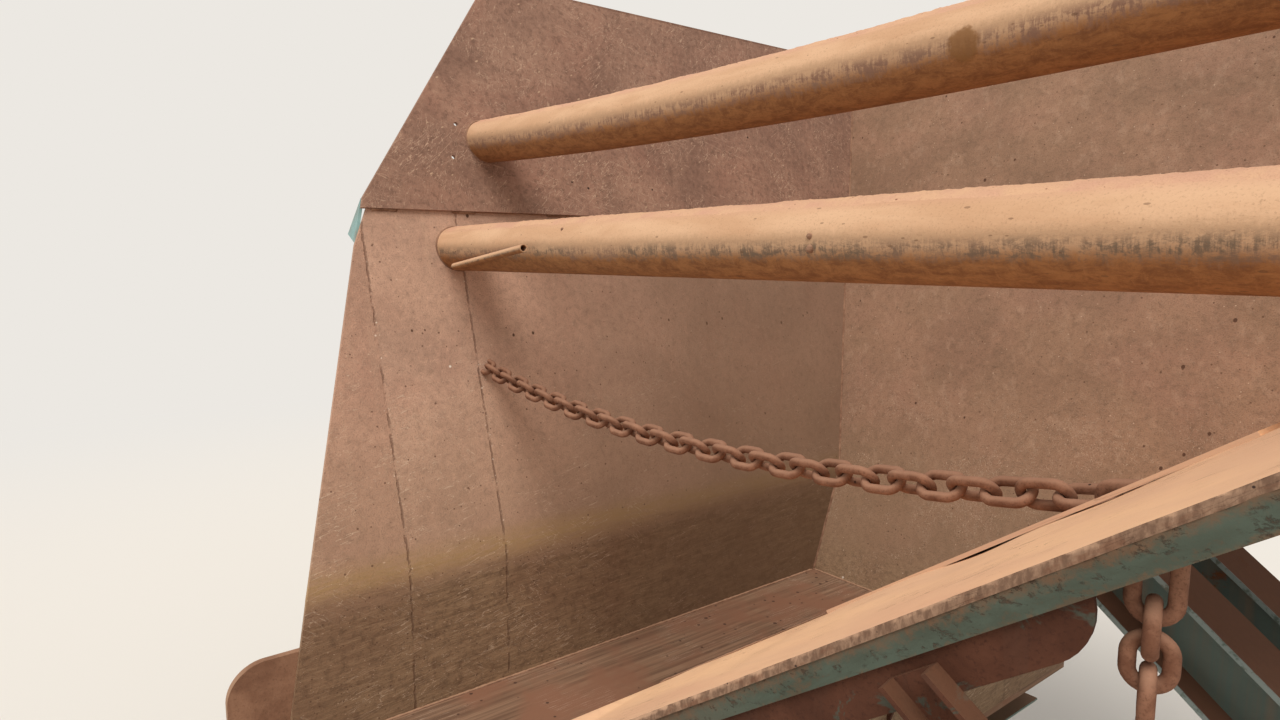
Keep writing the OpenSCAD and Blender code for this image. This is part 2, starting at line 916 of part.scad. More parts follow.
chain_a = [far_bend[0] - (eye_z - bend_z) * tan(flare), eye_y, eye_z];
chain_b = [bar_x, slot_y, bar_z];
chain_flat = norm([chain_b[0] - chain_a[0], chain_b[1] - chain_a[1]]);
chain_rise = chain_b[2] - chain_a[2];
links = ceil((slack * norm(chain_b - chain_a) - chain_end) / pitch);
chain_l = links * pitch + chain_end;
half_u = half_angle(sqrt(chain_l * chain_l - chain_rise * chain_rise) / chain_flat, 0.01, 3, 40);
chain_c = chain_flat / (2 * half_u);
mid_u = ln((1 + chain_rise / chain_l) / (1 - chain_rise / chain_l)) / 2;
start_u = mid_u - half_u;
chain_turn = atan2(chain_b[1] - chain_a[1], chain_b[0] - chain_a[0]);

// Point of the chain line at a length s from the wall, as [outward, height]
function line_at(s) =
    let (u = asinh(s / chain_c + sinh(start_u)))
    [chain_c * (u - start_u), chain_c * (cosh(u) - cosh(start_u))];
function roll(k) = 90 + 90 * (links - k) + 45 * (1 - max(0, (k - links + 6) / 6));

module chain_link(k) {
    p = line_at(max(0, k - 0.5) * pitch);
    q = line_at(min(links, k + 0.5) * pitch);
    step = q - p;
    tip = k == 0 ? q - unit(step) * pitch / 2 : k == links ? p + unit(step) * pitch / 2 : (p + q) / 2;
    translate(chain_a)
        rotate([0, 0, chain_turn])
            translate([tip[0], 0, tip[1]])
                rotate([0, -atan2(step[1], step[0]), 0])
                    rotate([roll(k), 0, 0])
                        link(link_len, link_w);
}

module chain() {
    color("#8c5d48")
        for (k = [1 : links])
            chain_link(k);
}

// Half link welded to the far wall
module chain_eye() {
    color("#8c5d48")
        intersection() {
            chain_link(0);
            clear_space();
        }
}

// Anchor bar through the last link and the loose end, and its lug
module chain_pin() {
    color("#8c5d48")
        union() {
            intersection() {
                translate([bar_x, 0, bar_z])
                    rotate([-90, 0, 0])
                        cylinder(d = pin_d, h = bar_back);
                on_lip()
                    translate([-big / 2, lip_front + edge_in + rib_t, -big / 2])
                        cube(big);
            }
            along(bar_back - lug_t, bar_back)
                polygon([on_slope(bar_s - lug_w / 2, slope_t), on_slope(bar_s + lug_w / 2, slope_t),
                    on_slope(bar_s + lug_w / 3, bar_depth + pin_d), on_slope(bar_s - lug_w / 3, bar_depth + pin_d)]);
        }
}

// Loose end, a long link and short ones, hanging from the bar behind the lip
tail_in = 98;
tail_y = near_edge(bar_z) + tail_in;
tail_pitch = tail_link - 2 * bar_d - gap;
tail_top = bar_z - (tail_first - 2 * bar_d - pin_d) / 2 + gap;
tail_next = tail_top - (tail_first + tail_link) / 2 + 2 * bar_d + gap;
tail_turns = [18, 108, 23, 110];
module chain_tail() {
    color("#8c5d48")
        for (i = [0 : len(tail_turns) - 1])
            translate([bar_x, tail_y, i == 0 ? tail_top : tail_next - (i - 1) * tail_pitch])
                rotate([0, 0, tail_turns[i] - 90])
                    rotate([0, 90, 0])
                        link(i == 0 ? tail_first : tail_link, tail_w);
}

placed() pan_floor();
placed() front_lip();
placed() front_flange();
placed() far_pan_beam();
placed() near_pan_beam();
placed() pan_cross_beams();
placed() far_legs();
placed() near_legs();
placed() far_cheek();
placed() near_cheek();
placed() far_front_patch();
placed() far_wall_plate();
placed() far_rear_plate();
placed() far_upper_plate();
placed() far_edge_gusset();
placed() far_ribs();
placed() far_posts();
placed() far_struts();
placed() far_rim();
placed() near_skirt();
placed() near_slope_plate();
placed() near_liner();
placed() near_upper_plate();
placed() near_edge_rib();
placed() near_front_web();
placed() near_rear_webs();
placed() near_beams_1();
placed() near_beams_2();
placed() near_beams_3();
placed() near_carrier();
placed() near_posts();
placed() near_knees();
placed() near_rim();
placed() back_plate();
placed() back_ribs();
placed() back_rim();
placed() lower_pipe();
placed() upper_pipe();
placed() stub_tube();
placed() chain();
placed() chain_eye();
placed() chain_pin();
placed() chain_tail();
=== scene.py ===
"""Feed hopper of a jaw crusher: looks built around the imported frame, in metres."""
import math
import random

import bpy
import bmesh
import numpy
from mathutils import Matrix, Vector, noise


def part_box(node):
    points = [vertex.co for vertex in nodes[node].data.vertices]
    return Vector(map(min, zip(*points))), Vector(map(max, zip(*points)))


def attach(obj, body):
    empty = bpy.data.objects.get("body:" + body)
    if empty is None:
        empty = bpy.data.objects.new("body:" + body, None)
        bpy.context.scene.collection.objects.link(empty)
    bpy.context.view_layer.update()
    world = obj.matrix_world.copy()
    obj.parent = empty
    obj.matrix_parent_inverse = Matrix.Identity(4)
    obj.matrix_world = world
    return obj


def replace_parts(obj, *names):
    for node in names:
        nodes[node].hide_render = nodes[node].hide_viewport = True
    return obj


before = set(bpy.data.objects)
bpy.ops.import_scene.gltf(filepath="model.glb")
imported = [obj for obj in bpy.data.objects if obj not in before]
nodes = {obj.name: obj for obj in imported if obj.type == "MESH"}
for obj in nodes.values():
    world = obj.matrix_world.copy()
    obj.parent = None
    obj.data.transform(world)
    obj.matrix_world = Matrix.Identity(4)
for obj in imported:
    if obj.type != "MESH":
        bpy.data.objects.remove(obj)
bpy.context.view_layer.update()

# Camera
# Stands at the free front end of the near slope, level with its plates, and looks
# up across the hopper to the far wall.
CAMERA_AT = (1.577, -2.508, 2.950)
CAMERA_PITCH = 7.27
CAMERA_YAW = 52.2
lens = bpy.data.cameras.new("camera")
lens.lens = 22.7
lens.sensor_width = 36.0
camera = bpy.data.objects.new("camera", lens)
camera.location = CAMERA_AT
camera.rotation_euler = (math.radians(90 - CAMERA_PITCH), 0, math.radians(CAMERA_YAW))
bpy.context.scene.collection.objects.link(camera)
bpy.context.scene.camera = camera

# Pan floor and nose bar
# 25 mm wear plate between the skirts, with a round nose bar welded to its front.
# Bare steel, scoured lengthwise in use and dulled by red-brown dust.
pan_low, pan_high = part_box("pan_floor")
PAN_HALF = 0.675
PAN_TOP = pan_high.z


def hopper(across, along, up):
    """A point across from the pan's middle, along from its nose and up from the ground."""
    return Vector(((pan_low.x + pan_high.x) / 2 + across, pan_low.y + along, up))


def seen(red, green, blue):
    """A colour as a screen shows it, 0 to 255, for a shader socket."""
    plain = [((c / 255 + 0.055) / 1.055) ** 2.4 if c > 10 else c / 3294 for c in (red, green, blue)]
    return (*plain, 1.0)


class Signal:
    """What a shader socket carries; sums and products with it add Math nodes."""

    def __init__(self, finish, node, output):
        self.finish, self.node, self.socket = finish, node, node.outputs[output]

    def other(self, output):
        return Signal(self.finish, self.node, output)

    def math(self, operation, first, second):
        return self.finish.node("Math", {"operation": operation}, {0: first, 1: second})

    def __add__(self, value):
        return self.math("ADD", self, value)

    def __radd__(self, value):
        return self.math("ADD", value, self)

    def __sub__(self, value):
        return self.math("SUBTRACT", self, value)

    def __rsub__(self, value):
        return self.math("SUBTRACT", value, self)

    def __mul__(self, value):
        return self.math("MULTIPLY", self, value)

    def __rmul__(self, value):
        return self.math("MULTIPLY", value, self)

    def __abs__(self):
        return self.math("ABSOLUTE", self, 0)

    def least(self, value):
        return self.math("MINIMUM", self, value)

    def most(self, value):
        return self.math("MAXIMUM", self, value)


class Finish:
    """A procedural material whose patterns are laid out in metres."""

    def __init__(self, name, specular=0.25):
        self.material = bpy.data.materials.new(name)
        self.material.use_nodes = True
        self.tree = self.material.node_tree
        self.shader = self.tree.nodes["Principled BSDF"]
        self.shader.inputs["Specular IOR Level"].default_value = specular
        self.here = self.node("TexCoord", output="Object")
        self.facing = self.node("NewGeometry", output="Normal")

    def node(self, kind, settings=None, inputs=None, output=0):
        made = self.tree.nodes.new("ShaderNode" + kind)
        for name, value in (settings or {}).items():
            setattr(made, name, value)
        for name, value in (inputs or {}).items():
            if isinstance(value, Signal):
                self.tree.links.new(value.socket, made.inputs[name])
            else:
                made.inputs[name].default_value = value
        return Signal(self, made, output)

    def axes(self, vector):
        """The three numbers of a vector."""
        parts = self.node("SeparateXYZ", {}, {0: vector})
        return parts, parts.other(1), parts.other(2)

    def laid(self, size, turn=(0, 0, 0), shift=(0, 0, 0)):
        """Object space with one unit as long as the pattern's size, each way."""
        size = size if isinstance(size, tuple) else (size, size, size)
        return self.node("Mapping", {"vector_type": "TEXTURE"},
                         {"Vector": self.here, "Location": shift, "Rotation": turn, "Scale": size})

    def noise(self, size, detail=3.0, rough=0.55, warp=0.0, turn=(0, 0, 0), shift=(0, 0, 0)):
        return self.node("TexNoise", {}, {"Vector": self.laid(size, turn, shift), "Scale": 1.0,
                                          "Detail": detail, "Roughness": rough, "Distortion": warp})

    def step(self, value, low, high):
        """0 at low and 1 at high, smooth between them."""
        return self.node("MapRange", {"interpolation_type": "SMOOTHSTEP"},
                         {"Value": value, "From Min": low, "From Max": high})

    def specks(self, size, big, few, edge=0.25, turn=(0, 0, 0), shift=(0, 0, 0)):
        """Scattered spots: one cell of the size each, the share `few` of them empty."""
        cell = self.node("TexVoronoi", {}, {"Vector": self.laid(size, turn, shift), "Scale": 1.0})
        chance = self.axes(cell.other("Color"))[0]
        reach = (chance - few) * (big / (1 - few))
        return self.step(reach - cell, 0.0, big * edge)

    def scratches(self, size, turn=(0, 0, 0), shift=(0, 0, 0), width=0.012, broken=0.5):
        """Long thin lines along the longest way of the size."""
        line = abs(self.noise(size, 2.0, 0.6, 0.15, turn, shift) - 0.5)
        along = self.noise(0.25, 2.0, 0.5, 0.0, turn, (shift[0] + 3, 1, 2))
        return self.step(line, width, width * 0.25) * self.step(along, broken - 0.03, broken + 0.06)

    def mix(self, mask, first, second):
        """The first colour where the mask is 0 and the second where it is 1."""
        return self.node("Mix", {"data_type": "RGBA"}, {0: mask, 6: first, 7: second}, 2)

    def blend(self, value, low, high, first, second):
        """From one screen colour to another while the value goes from low to high."""
        return self.mix(self.step(value, low, high), seen(*first), seen(*second))

    def coats(self, tone, *layers):
        """Lays (mask, screen colour) layers over a tone, one after another."""
        for mask, colour in layers:
            tone = self.mix(mask, tone, seen(*colour))
        return tone

    def bump(self, height, depth):
        return self.node("Bump", {}, {"Height": height, "Distance": depth, "Strength": 1.0})

    def set(self, **sockets):
        for name, value in sockets.items():
            socket = self.shader.inputs[name.replace("_", " ")]
            if isinstance(value, Signal):
                self.tree.links.new(value.socket, socket)
            else:
                socket.default_value = value

    def on(self, *names):
        """Gives CAD nodes or new pieces this finish."""
        for name in names:
            piece = nodes[name] if isinstance(name, str) else name
            if piece.material_slots:
                for slot in piece.material_slots:
                    slot.material = self.material
            else:
                piece.data.materials.append(self.material)


worn_floor = Finish("scoured_floor")
streaks = worn_floor.noise((0.02, 0.9, 0.02), 4.0)
patches = worn_floor.noise(0.35, 4.0, 0.6)
tone = worn_floor.blend(streaks, 0.35, 0.65, (112, 84, 66), (150, 118, 94))
tone = worn_floor.coats(tone,
    (worn_floor.step(patches, 0.42, 0.62), (140, 100, 78)),
    (worn_floor.scratches((0.012, 0.7, 0.012)) * 0.5, (196, 172, 150)),
    (worn_floor.specks(0.035, 0.32, 0.6), (86, 60, 48)))
relief = worn_floor.bump(streaks + worn_floor.noise(0.006, 2.0) * 0.5, 0.0015)
worn_floor.set(Base_Color=tone, Roughness=0.62 + patches * 0.3, Normal=relief)
worn_floor.on("pan_floor", "front_lip")

# Steelwork under the hopper
# Wide-flange beams, columns and the bolting flange toward the crusher, cut from
# rolled section and welded. Teal paint over primer, chipped to rust, with brown dust
# lying on every face that looks up.


def teal(name, paint, seed, dusty=0.55, rusty=0.5, dust=(150, 112, 88)):
    """Chipped teal paint with rust, dust on upper faces and stains that run down."""
    finish = Finish(name, specular=0.3)
    up = finish.axes(finish.facing)[2]
    cloud = finish.noise(0.22, 5.0, 0.62, 0.3, shift=(seed, 2, 5))
    grain = finish.noise(0.012, 3.0, 0.6, shift=(seed, 0, 0))
    runs = finish.noise((0.03, 0.03, 0.5), 3.0, shift=(seed, 4, 1))
    tone = finish.blend(cloud, 0.35, 0.7, paint, [c * 0.84 for c in paint])
    film = finish.step(runs, 0.42, 0.75) * 0.55
    tone = finish.mix(film, tone, seen(132, 108, 86))
    rust = finish.step(cloud + grain * 0.3, 0.86 - rusty * 0.22, 0.94 - rusty * 0.2)
    tone = finish.mix(rust, tone, finish.mix(grain, seen(98, 56, 36), seen(142, 88, 56)))
    pits = finish.specks(0.03, 0.3, 0.72, shift=(seed, 1, 1)) * finish.step(cloud, 0.45, 0.6)
    tone = finish.mix(pits, tone, seen(52, 38, 30))
    lying = finish.step(up, 0.35, 0.85)
    settled = (lying * (0.75 + 0.25 * dusty) + finish.step(up, -0.2, 0.4) * dusty * 0.5).least(0.96)
    tone = finish.mix(settled, tone, finish.mix(grain, seen(*(c * 0.9 for c in dust)), seen(*dust)))
    relief = finish.bump(cloud + rust * 0.4 - pits * 0.6 + grain * 0.25, 0.0016)
    finish.set(Base_Color=tone, Roughness=(0.5 + rust * 0.35 + settled * 0.4).least(0.95), Normal=relief)
    finish.tone = tone
    return finish


steelwork = teal("painted_steelwork", (96, 132, 124), 1.0)
steelwork.on("far_pan_beam", "near_pan_beam", "pan_cross_beams", "far_legs", "near_legs", "front_flange",
             "far_ribs", "far_posts", "far_struts", "near_carrier", "near_posts", "near_knees", "back_ribs")

# Anchor bolts
# Hexagon nut and washer on the end of an anchor stud at each hole of the base plates.
# Bare steel gone brown, with dust in the corners.
FOOT_T, FOOT_PITCH = 0.020, 0.190
WASHER_D, WASHER_T, WASHER_ROUND = 0.046, 0.004, 0.001
NUT_ACROSS, NUT_H, NUT_BEVEL, NUT_TOP = 0.036, 0.019, 0.0022, 0.88
STUD_D, STUD_UP, STUD_TAPER = 0.022, 0.048, 0.003
THREADS, THREAD_RISE, THREAD_DEEP = 16, 0.0014, 0.0012
EAST, NORTH = Vector((1, 0, 0)), Vector((0, 1, 0))


def ring_of(mesh, centre, side, out, radius, count, turn=0.0):
    """A closed ring of points about a centre, in the plane of two vectors."""
    return [mesh.verts.new(centre + side * (radius * math.cos(turn + math.tau * i / count))
                           + out * (radius * math.sin(turn + math.tau * i / count))) for i in range(count)]


def skin(mesh, rings, closed=False):
    """Faces between rings of the same count, with end faces unless the rings close."""
    count = len(rings[0])
    pairs = list(zip(rings, rings[1:])) + ([(rings[-1], rings[0])] if closed else [])
    for a, b in pairs:
        for i in range(count):
            mesh.faces.new((a[i], a[(i + 1) % count], b[(i + 1) % count], b[i]))
    if not closed:
        mesh.faces.new(list(reversed(rings[0])))
        mesh.faces.new(rings[-1])


def turned(mesh, base, steps, count, turn=0.0):
    """A solid turned about the vertical through a point, from (radius, height) steps."""
    skin(mesh, [ring_of(mesh, base + Vector((0, 0, h)), EAST, NORTH, r, count, turn) for r, h in steps])


def placed(name, mesh):
    """Puts a mesh in the scene as an object."""
    bmesh.ops.recalc_face_normals(mesh, faces=mesh.faces)
    data = bpy.data.meshes.new(name)
    mesh.to_mesh(data)
    mesh.free()
    piece = bpy.data.objects.new(name, data)
    bpy.context.scene.collection.objects.link(piece)
    return piece


def made(name, mesh, finish, slot, smooth):
    """Turns a mesh into a piece of the hopper, smooth up to an angle, with its finish; the slot argument is
    not used.
    """
    piece = placed(name, mesh)
    for face in piece.data.polygons:
        face.use_smooth = True
    piece.data.set_sharp_from_angle(angle=math.radians(smooth))
    finish.on(piece)
    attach(piece, "root")
    return piece


def middle(corners):
    return (Vector(map(min, zip(*corners))) + Vector(map(max, zip(*corners)))) / 2


def islands(name):
    """The corners of each separate solid of a CAD node, in the same order each run."""
    mesh = bmesh.new()
    mesh.from_mesh(nodes[name].data)
    bmesh.ops.remove_doubles(mesh, verts=mesh.verts, dist=1e-5)
    left, found = set(mesh.verts), []
    for first in mesh.verts:
        if first not in left:
            continue
        left.remove(first)
        queue, group = [first], []
        while queue:
            corner = queue.pop()
            group.append(corner.co.copy())
            for edge in corner.link_edges:
                far = edge.other_vert(corner)
                if far in left:
                    left.remove(far)
                    queue.append(far)
        found.append(group)
    mesh.free()
    return sorted(found, key=lambda group: [round(place, 4) for place in middle(group)])


bolt_steel = Finish("anchor_bolt_steel", specular=0.35)
flakes = bolt_steel.noise(0.008, 4.0, 0.7)
tone = bolt_steel.blend(flakes, 0.35, 0.65, (74, 52, 42), (128, 90, 66))
dusted = bolt_steel.step(bolt_steel.axes(bolt_steel.facing)[2], 0.3, 0.9)
tone = bolt_steel.mix(dusted * 0.7, tone, seen(150, 114, 90))
bolt_steel.set(Base_Color=tone, Roughness=0.75 + flakes * 0.2, Normal=bolt_steel.bump(flakes, 0.0008))

washer = [(WASHER_D / 2 - WASHER_ROUND, 0), (WASHER_D / 2, WASHER_ROUND),
          (WASHER_D / 2, WASHER_T - WASHER_ROUND), (WASHER_D / 2 - 2 * WASHER_ROUND, WASHER_T)]
corner = NUT_ACROSS / math.sqrt(3)
nut_top = WASHER_T + NUT_H
nut = [(corner * NUT_TOP, WASHER_T), (corner, WASHER_T + NUT_BEVEL),
       (corner, nut_top - NUT_BEVEL), (corner * NUT_TOP, nut_top)]
stud = [(STUD_D / 2 - THREAD_DEEP * (i % 2), nut_top + i * THREAD_RISE) for i in range(THREADS)]
stud.append((STUD_D / 2 - STUD_TAPER, STUD_UP))
bolts = bmesh.new()
turns = random.Random(5)
for node in ("far_legs", "near_legs", "far_posts", "near_posts"):
    for corners in islands(node):
        foot = middle([c for c in corners if c.z < FOOT_T + 0.001])
        for sx in (-1, 1):
            for sy in (-1, 1):
                at = Vector((foot.x + sx * FOOT_PITCH / 2, foot.y + sy * FOOT_PITCH / 2, FOOT_T))
                turned(bolts, at, washer, 24)
                turned(bolts, at, nut, 6, turns.uniform(0, math.tau))
                turned(bolts, at, stud, 16)
made("anchor_bolts", bolts, bolt_steel, "chain_iron", smooth=30)

# Far wall, lower plates
# Three 16 mm plates pressed to a round bend and butt welded at two upright seams.
# Tan dust over bare steel, the bend rubbed and with a painted olive-gold highlight along it, and the
# skirt below it scuffed grey-brown in use and darkened by painted shade; painted shade also deepens along the
# hopper.
BEND_Z, SEAM_Z = 1.750, 3.185
FLARE = math.radians(16)
SEAM_YS = (0.755, 1.165)


def scoured(name, tan, seed, worn_below, blend=0.07, bend_wear_and_highlight=0.0, painted_shade_from=1.6, seams=False):
    """Dusty tan plate, scoured below a height, with painted shade past a place along the hopper; an optional
    gold band at the scour line is partly a painted highlight.
    """
    finish = Finish(name, specular=0.2)
    _, y, z = finish.axes(finish.here)
    cloud = finish.noise(0.5, 4.0, 0.55, 0.4, shift=(seed, 0, 3))
    mottle = finish.noise(0.034, 6.0, 0.78, 0.4, shift=(0, seed, 0))
    grain = finish.noise(0.0055, 3.0, 0.7, shift=(seed, 0, 0))
    runs = finish.noise((0.06, 0.03, 0.5), 4.0, 0.65, 0.2, (0, -FLARE, 0), (0, seed, 0))
    tone = finish.blend(cloud, 0.3, 0.7, tan, [c * 0.88 for c in tan])
    tone = finish.coats(tone,
        (finish.step(cloud.other("Color"), 0.4, 0.75) * 0.35, (204, 152, 130)),
        (finish.step(mottle, 0.46, 0.7) * 0.55, [c * 0.74 for c in tan]),
        (finish.step(mottle, 0.46, 0.28) * 0.45, [min(c * 1.14, 250) for c in tan]),
        (finish.step(runs, 0.5, 0.75) * 0.28, (204, 170, 144)))
    lower = finish.step(z, worn_below + 0.85, worn_below + 0.05)
    tone = finish.coats(tone,
        (lower * 0.4, (156, 128, 100)),
        (finish.step(grain, 0.5, 0.7) * 0.5, [c * 0.62 for c in tan]))
    wander = finish.noise((0.2, 0.8, 0.08), 4.0, 0.6, shift=(2, 1, 2)) - 0.5
    low = finish.step(z + wander * 0.16, worn_below + blend * 0.3, worn_below - blend * 1.6)
    sweep = finish.noise((0.03, 0.13, 0.017), 7.0, 0.8, 0.35, (0.05, 0, 0), (0, 5, 2))
    scuffs = finish.noise((0.02, 0.12, 0.006), 5.0, 0.8, 0.3, (0.04, 0, 0), (3, 0, 2))
    # skirt colours: grey-brown scuffing in use, darkened further by painted shade
    skirt = finish.blend(sweep, 0.32, 0.68, (132, 106, 82), (168, 138, 108))
    skirt = finish.coats(skirt,
        (finish.step(cloud, 0.4, 0.7) * 0.5, (136, 102, 80)),
        (finish.step(mottle, 0.46, 0.66) * 0.5, (98, 74, 58)),
        (finish.step(scuffs, 0.5, 0.72) * 0.5, (190, 160, 126)),
        (finish.step(scuffs, 0.44, 0.26) * 0.5, (84, 64, 50)))
    tone = finish.mix(low, tone, skirt)
    if bend_wear_and_highlight:
        # gold band along the bend: partly rubbed steel, partly a painted highlight
        band = finish.step(abs(z + wander * 0.06 - worn_below - 0.025), 0.1, 0.0)
        tone = finish.mix(band * finish.step(sweep, 0.2, 0.62) * bend_wear_and_highlight, tone, seen(168, 136, 92))
    # long light scratches, pits, and chips down to bare metal
    scraped = finish.scratches((0.02, 0.22, 0.022), (0.22, 0, 0), (seed, 0, 0), 0.009, 0.53)
    crossed = finish.scratches((0.03, 0.2, 0.026), (-0.7, 0, 0), (seed, 6, 0), 0.008, 0.55)
    marks = scraped.most(crossed * 0.7) * finish.step(z, worn_below + 1.1, worn_below + 0.5)
    tone = finish.mix(marks * 0.55, tone, seen(224, 198, 172))
    nicks = finish.specks((0.02, 0.034, 0.018), 0.18, 0.72, shift=(seed, 2, 0))
    pits = finish.specks((0.075, 0.075, 0.1), 0.12, 0.4, shift=(seed, 0, 0))
    tone = finish.coats(tone,
        (nicks * 0.6, (222, 192, 166)),
        (pits, (96, 68, 54)),
        (finish.specks(0.02, 0.26, 0.8, shift=(seed, 1, 0)) * 0.8, (104, 76, 60)),
        (finish.specks(0.24, 0.045, 0.72, 0.5, shift=(seed, 4, 0)), (238, 226, 212)))
    height = cloud * 1.1 + mottle * 0.7 + grain * 0.45 + low * (sweep + scuffs * 0.5) * 0.5
    if seams:
        wobble = (finish.noise(0.03, 4.0, 0.7) - 0.5) * 0.022
        nearest = abs(y - pan_low.y - SEAM_YS[0] + wobble)
        nearest = nearest.least(abs(y - pan_low.y - SEAM_YS[1] + wobble))
        crack = finish.step(nearest, 0.006, 0.002) * finish.step(finish.noise(0.09, 4.0, 0.7), 0.4, 0.52)
        tone = finish.mix(crack * 0.55, tone, seen(104, 76, 60))
        rim = finish.step(nearest, 0.02, 0.004) * finish.specks(0.014, 0.34, 0.6, 0.4)
        tone = finish.mix(rim, tone, seen(226, 204, 184))
        height = height - crack * 0.8
    # painted shade: the plate is darkened past a given place along the hopper
    painted_shade = finish.step(y - pan_low.y, painted_shade_from, painted_shade_from + 1.5)
    tone = finish.mix(painted_shade * 0.65, tone, seen(108, 85, 66))
    finish.set(Base_Color=tone, Roughness=(0.92 - low * 0.2 + grain * 0.08).least(1.0),
               Normal=finish.bump(height, 0.0034))
    return finish


scoured("far_front_finish", (204, 162, 138), 2.0, BEND_Z, bend_wear_and_highlight=0.8, seams=True).on("far_front_patch")
wall_finish = scoured("far_wall_finish", (206, 167, 143), 5.0, BEND_Z, bend_wear_and_highlight=0.8, painted_shade_from=1.1, seams=True)
wall_finish.on("far_wall_plate", "far_rear_plate")

# Far wall, upper plate
# 16 mm plate that laps over the lower ones from inside. Older and darker than they
# are: scaly brown rust with pale flecks and scratches from knocks.


def dark_plate(name, seed):
    finish = Finish(name, specular=0.2)
    cloud = finish.noise(0.45, 5.0, 0.6, 0.5, shift=(seed, 0, 1))
    scale = finish.noise(0.028, 6.0, 0.78, 0.3, shift=(seed, 0, 0))
    grain = finish.noise(0.0055, 3.0, 0.7, shift=(0, seed, 0))
    tone = finish.blend(cloud, 0.32, 0.68, (140, 108, 92), (166, 130, 110))
    tone = finish.coats(tone,
        (finish.step(cloud.other("Color"), 0.42, 0.75) * 0.4, (166, 116, 98)),
        (finish.step(scale, 0.46, 0.66) * 0.55, (104, 78, 66)),
        (finish.step(scale, 0.45, 0.28) * 0.5, (190, 156, 132)),
        (finish.step(grain, 0.54, 0.76) * 0.4, (92, 68, 56)))
    nicks = finish.specks((0.03, 0.05, 0.022), 0.22, 0.66, 0.4, (0.5, 0, 0), (seed, 0, 0))
    tone = finish.mix(nicks * 0.8, tone, seen(200, 168, 140))
    for turn, shift, strength in ((0.75, 3, 0.8), (1.35, 9, 0.6), (-0.3, 6, 0.5)):
        strikes = finish.scratches((0.03, 0.3, 0.03), (turn, 0, 0), (seed, shift, 0), 0.009, 0.5)
        tone = finish.mix(strikes * strength, tone, seen(196, 164, 140))
    tone = finish.mix(finish.specks(0.1, 0.08, 0.6, shift=(seed, 5, 0)), tone, seen(66, 48, 40))
    finish.set(Base_Color=tone, Roughness=(0.86 + scale * 0.14).least(1.0),
               Normal=finish.bump(cloud + scale * 0.5 + grain * 0.25, 0.004))
    return finish


dark_plate("far_upper_finish", 3.0).on("far_upper_plate", "far_rim")

# Gusset at the free edge
# Small triangle of 12 mm plate behind the free edge of the far wall, just under the
# lap. Newer than the rest: clean light teal paint with a film of dust.
gusset = teal("gusset_paint", (146, 186, 184), 7.0, dusty=0.2, rusty=0.1)
gusset.on("far_edge_gusset")

# Cheek plates
# 28 mm plates with a round front corner that close the throat at the front of the pan.
# Rusty brown, rubbed smooth along the front edge, with a painted highlight on the faces that look to the
# front.
cheek = Finish("cheek_plate", specular=0.25)
cloud = cheek.noise(0.18, 5.0, 0.65, 0.3)
grain = cheek.noise(0.008, 3.0, 0.7)
tone = cheek.blend(cloud, 0.35, 0.65, (164, 124, 98), (134, 97, 75))
tone = cheek.coats(tone,
    (cheek.step(grain, 0.5, 0.75) * 0.5, (104, 73, 57)),
    # faces that look to the front are painted paler: painted highlight on the front edge
    (cheek.step(cheek.axes(cheek.facing)[1], -0.3, -0.8) * 0.6, (172, 138, 112)),
    (cheek.specks(0.05, 0.12, 0.6), (80, 56, 44)))
cheek.set(Base_Color=tone, Roughness=0.82 + grain * 0.15, Normal=cheek.bump(cloud + grain * 0.3, 0.003))
cheek.on("far_cheek", "near_cheek")

# Near skirt and upper plate, back plate
# 16 mm plates that close the pan, the knuckle above the slope and the back. Scoured
# bare low down and dusty above.
FOOT_Z = 1.865
# each of these plates carries painted shade further along the hopper
scoured("near_skirt_finish", (170, 134, 110), 14.0, FOOT_Z + 0.1, painted_shade_from=2.5).on("near_skirt")
scoured("near_upper_finish", (176, 140, 114), 17.0, 1.0, painted_shade_from=3.5).on("near_upper_plate")
scoured("back_plate_finish", (162, 128, 104), 21.0, PAN_TOP + 0.28, 0.2, painted_shade_from=4.4).on("back_plate")
dark_plate("rim_finish", 8.0).on("near_rim", "back_rim")

# Near slope plate
# 16 mm plate on a slope of 35.6 degrees, its front strip pressed down to a lip and the
# fold buckled by knocks. Burnt to shape by hand, so its front edge is ragged; thick tan
# dust lies on it, and its underside is brown with old paint.
SLOPE = math.radians(35.6)
PLATE_T = 0.016
SLOPE_LEN = (SEAM_Z - FOOT_Z) / math.sin(SLOPE)
LIP_W, LIP_DROP, FOLD_ROUND = 0.360, 0.040, 0.04
# front edge: its place along at the foot, and its run along for each metre up the slope
EDGE_Y0, EDGE_RISE = 0.46666, 0.27526 * math.sin(SLOPE)
RIM_Z, BACK_FOOT, BACK_OUT, BACK_OVER = 4.215, 3.100, 1.100, 0.040
BACK_LEAN = math.atan2(BACK_OUT, RIM_Z - PAN_TOP)
slope_dir = Vector((math.cos(SLOPE), 0, math.sin(SLOPE)))
slope_up = Vector((-math.sin(SLOPE), 0, math.cos(SLOPE)))


def on_slope(s, y, n):
    """A point s up the slope from its foot, y along the hopper, n off the plate's face."""
    return hopper(PAN_HALF, y, FOOT_Z) + slope_dir * s + slope_up * n


def back_face(z):
    """Along place of the back plate's inner face at a height."""
    return BACK_FOOT + (z - PAN_TOP) * math.tan(BACK_LEAN)


def smooth(value, low, high):
    t = min(1.0, max(0.0, (value - low) / (high - low)))
    return t * t * (3 - 2 * t)


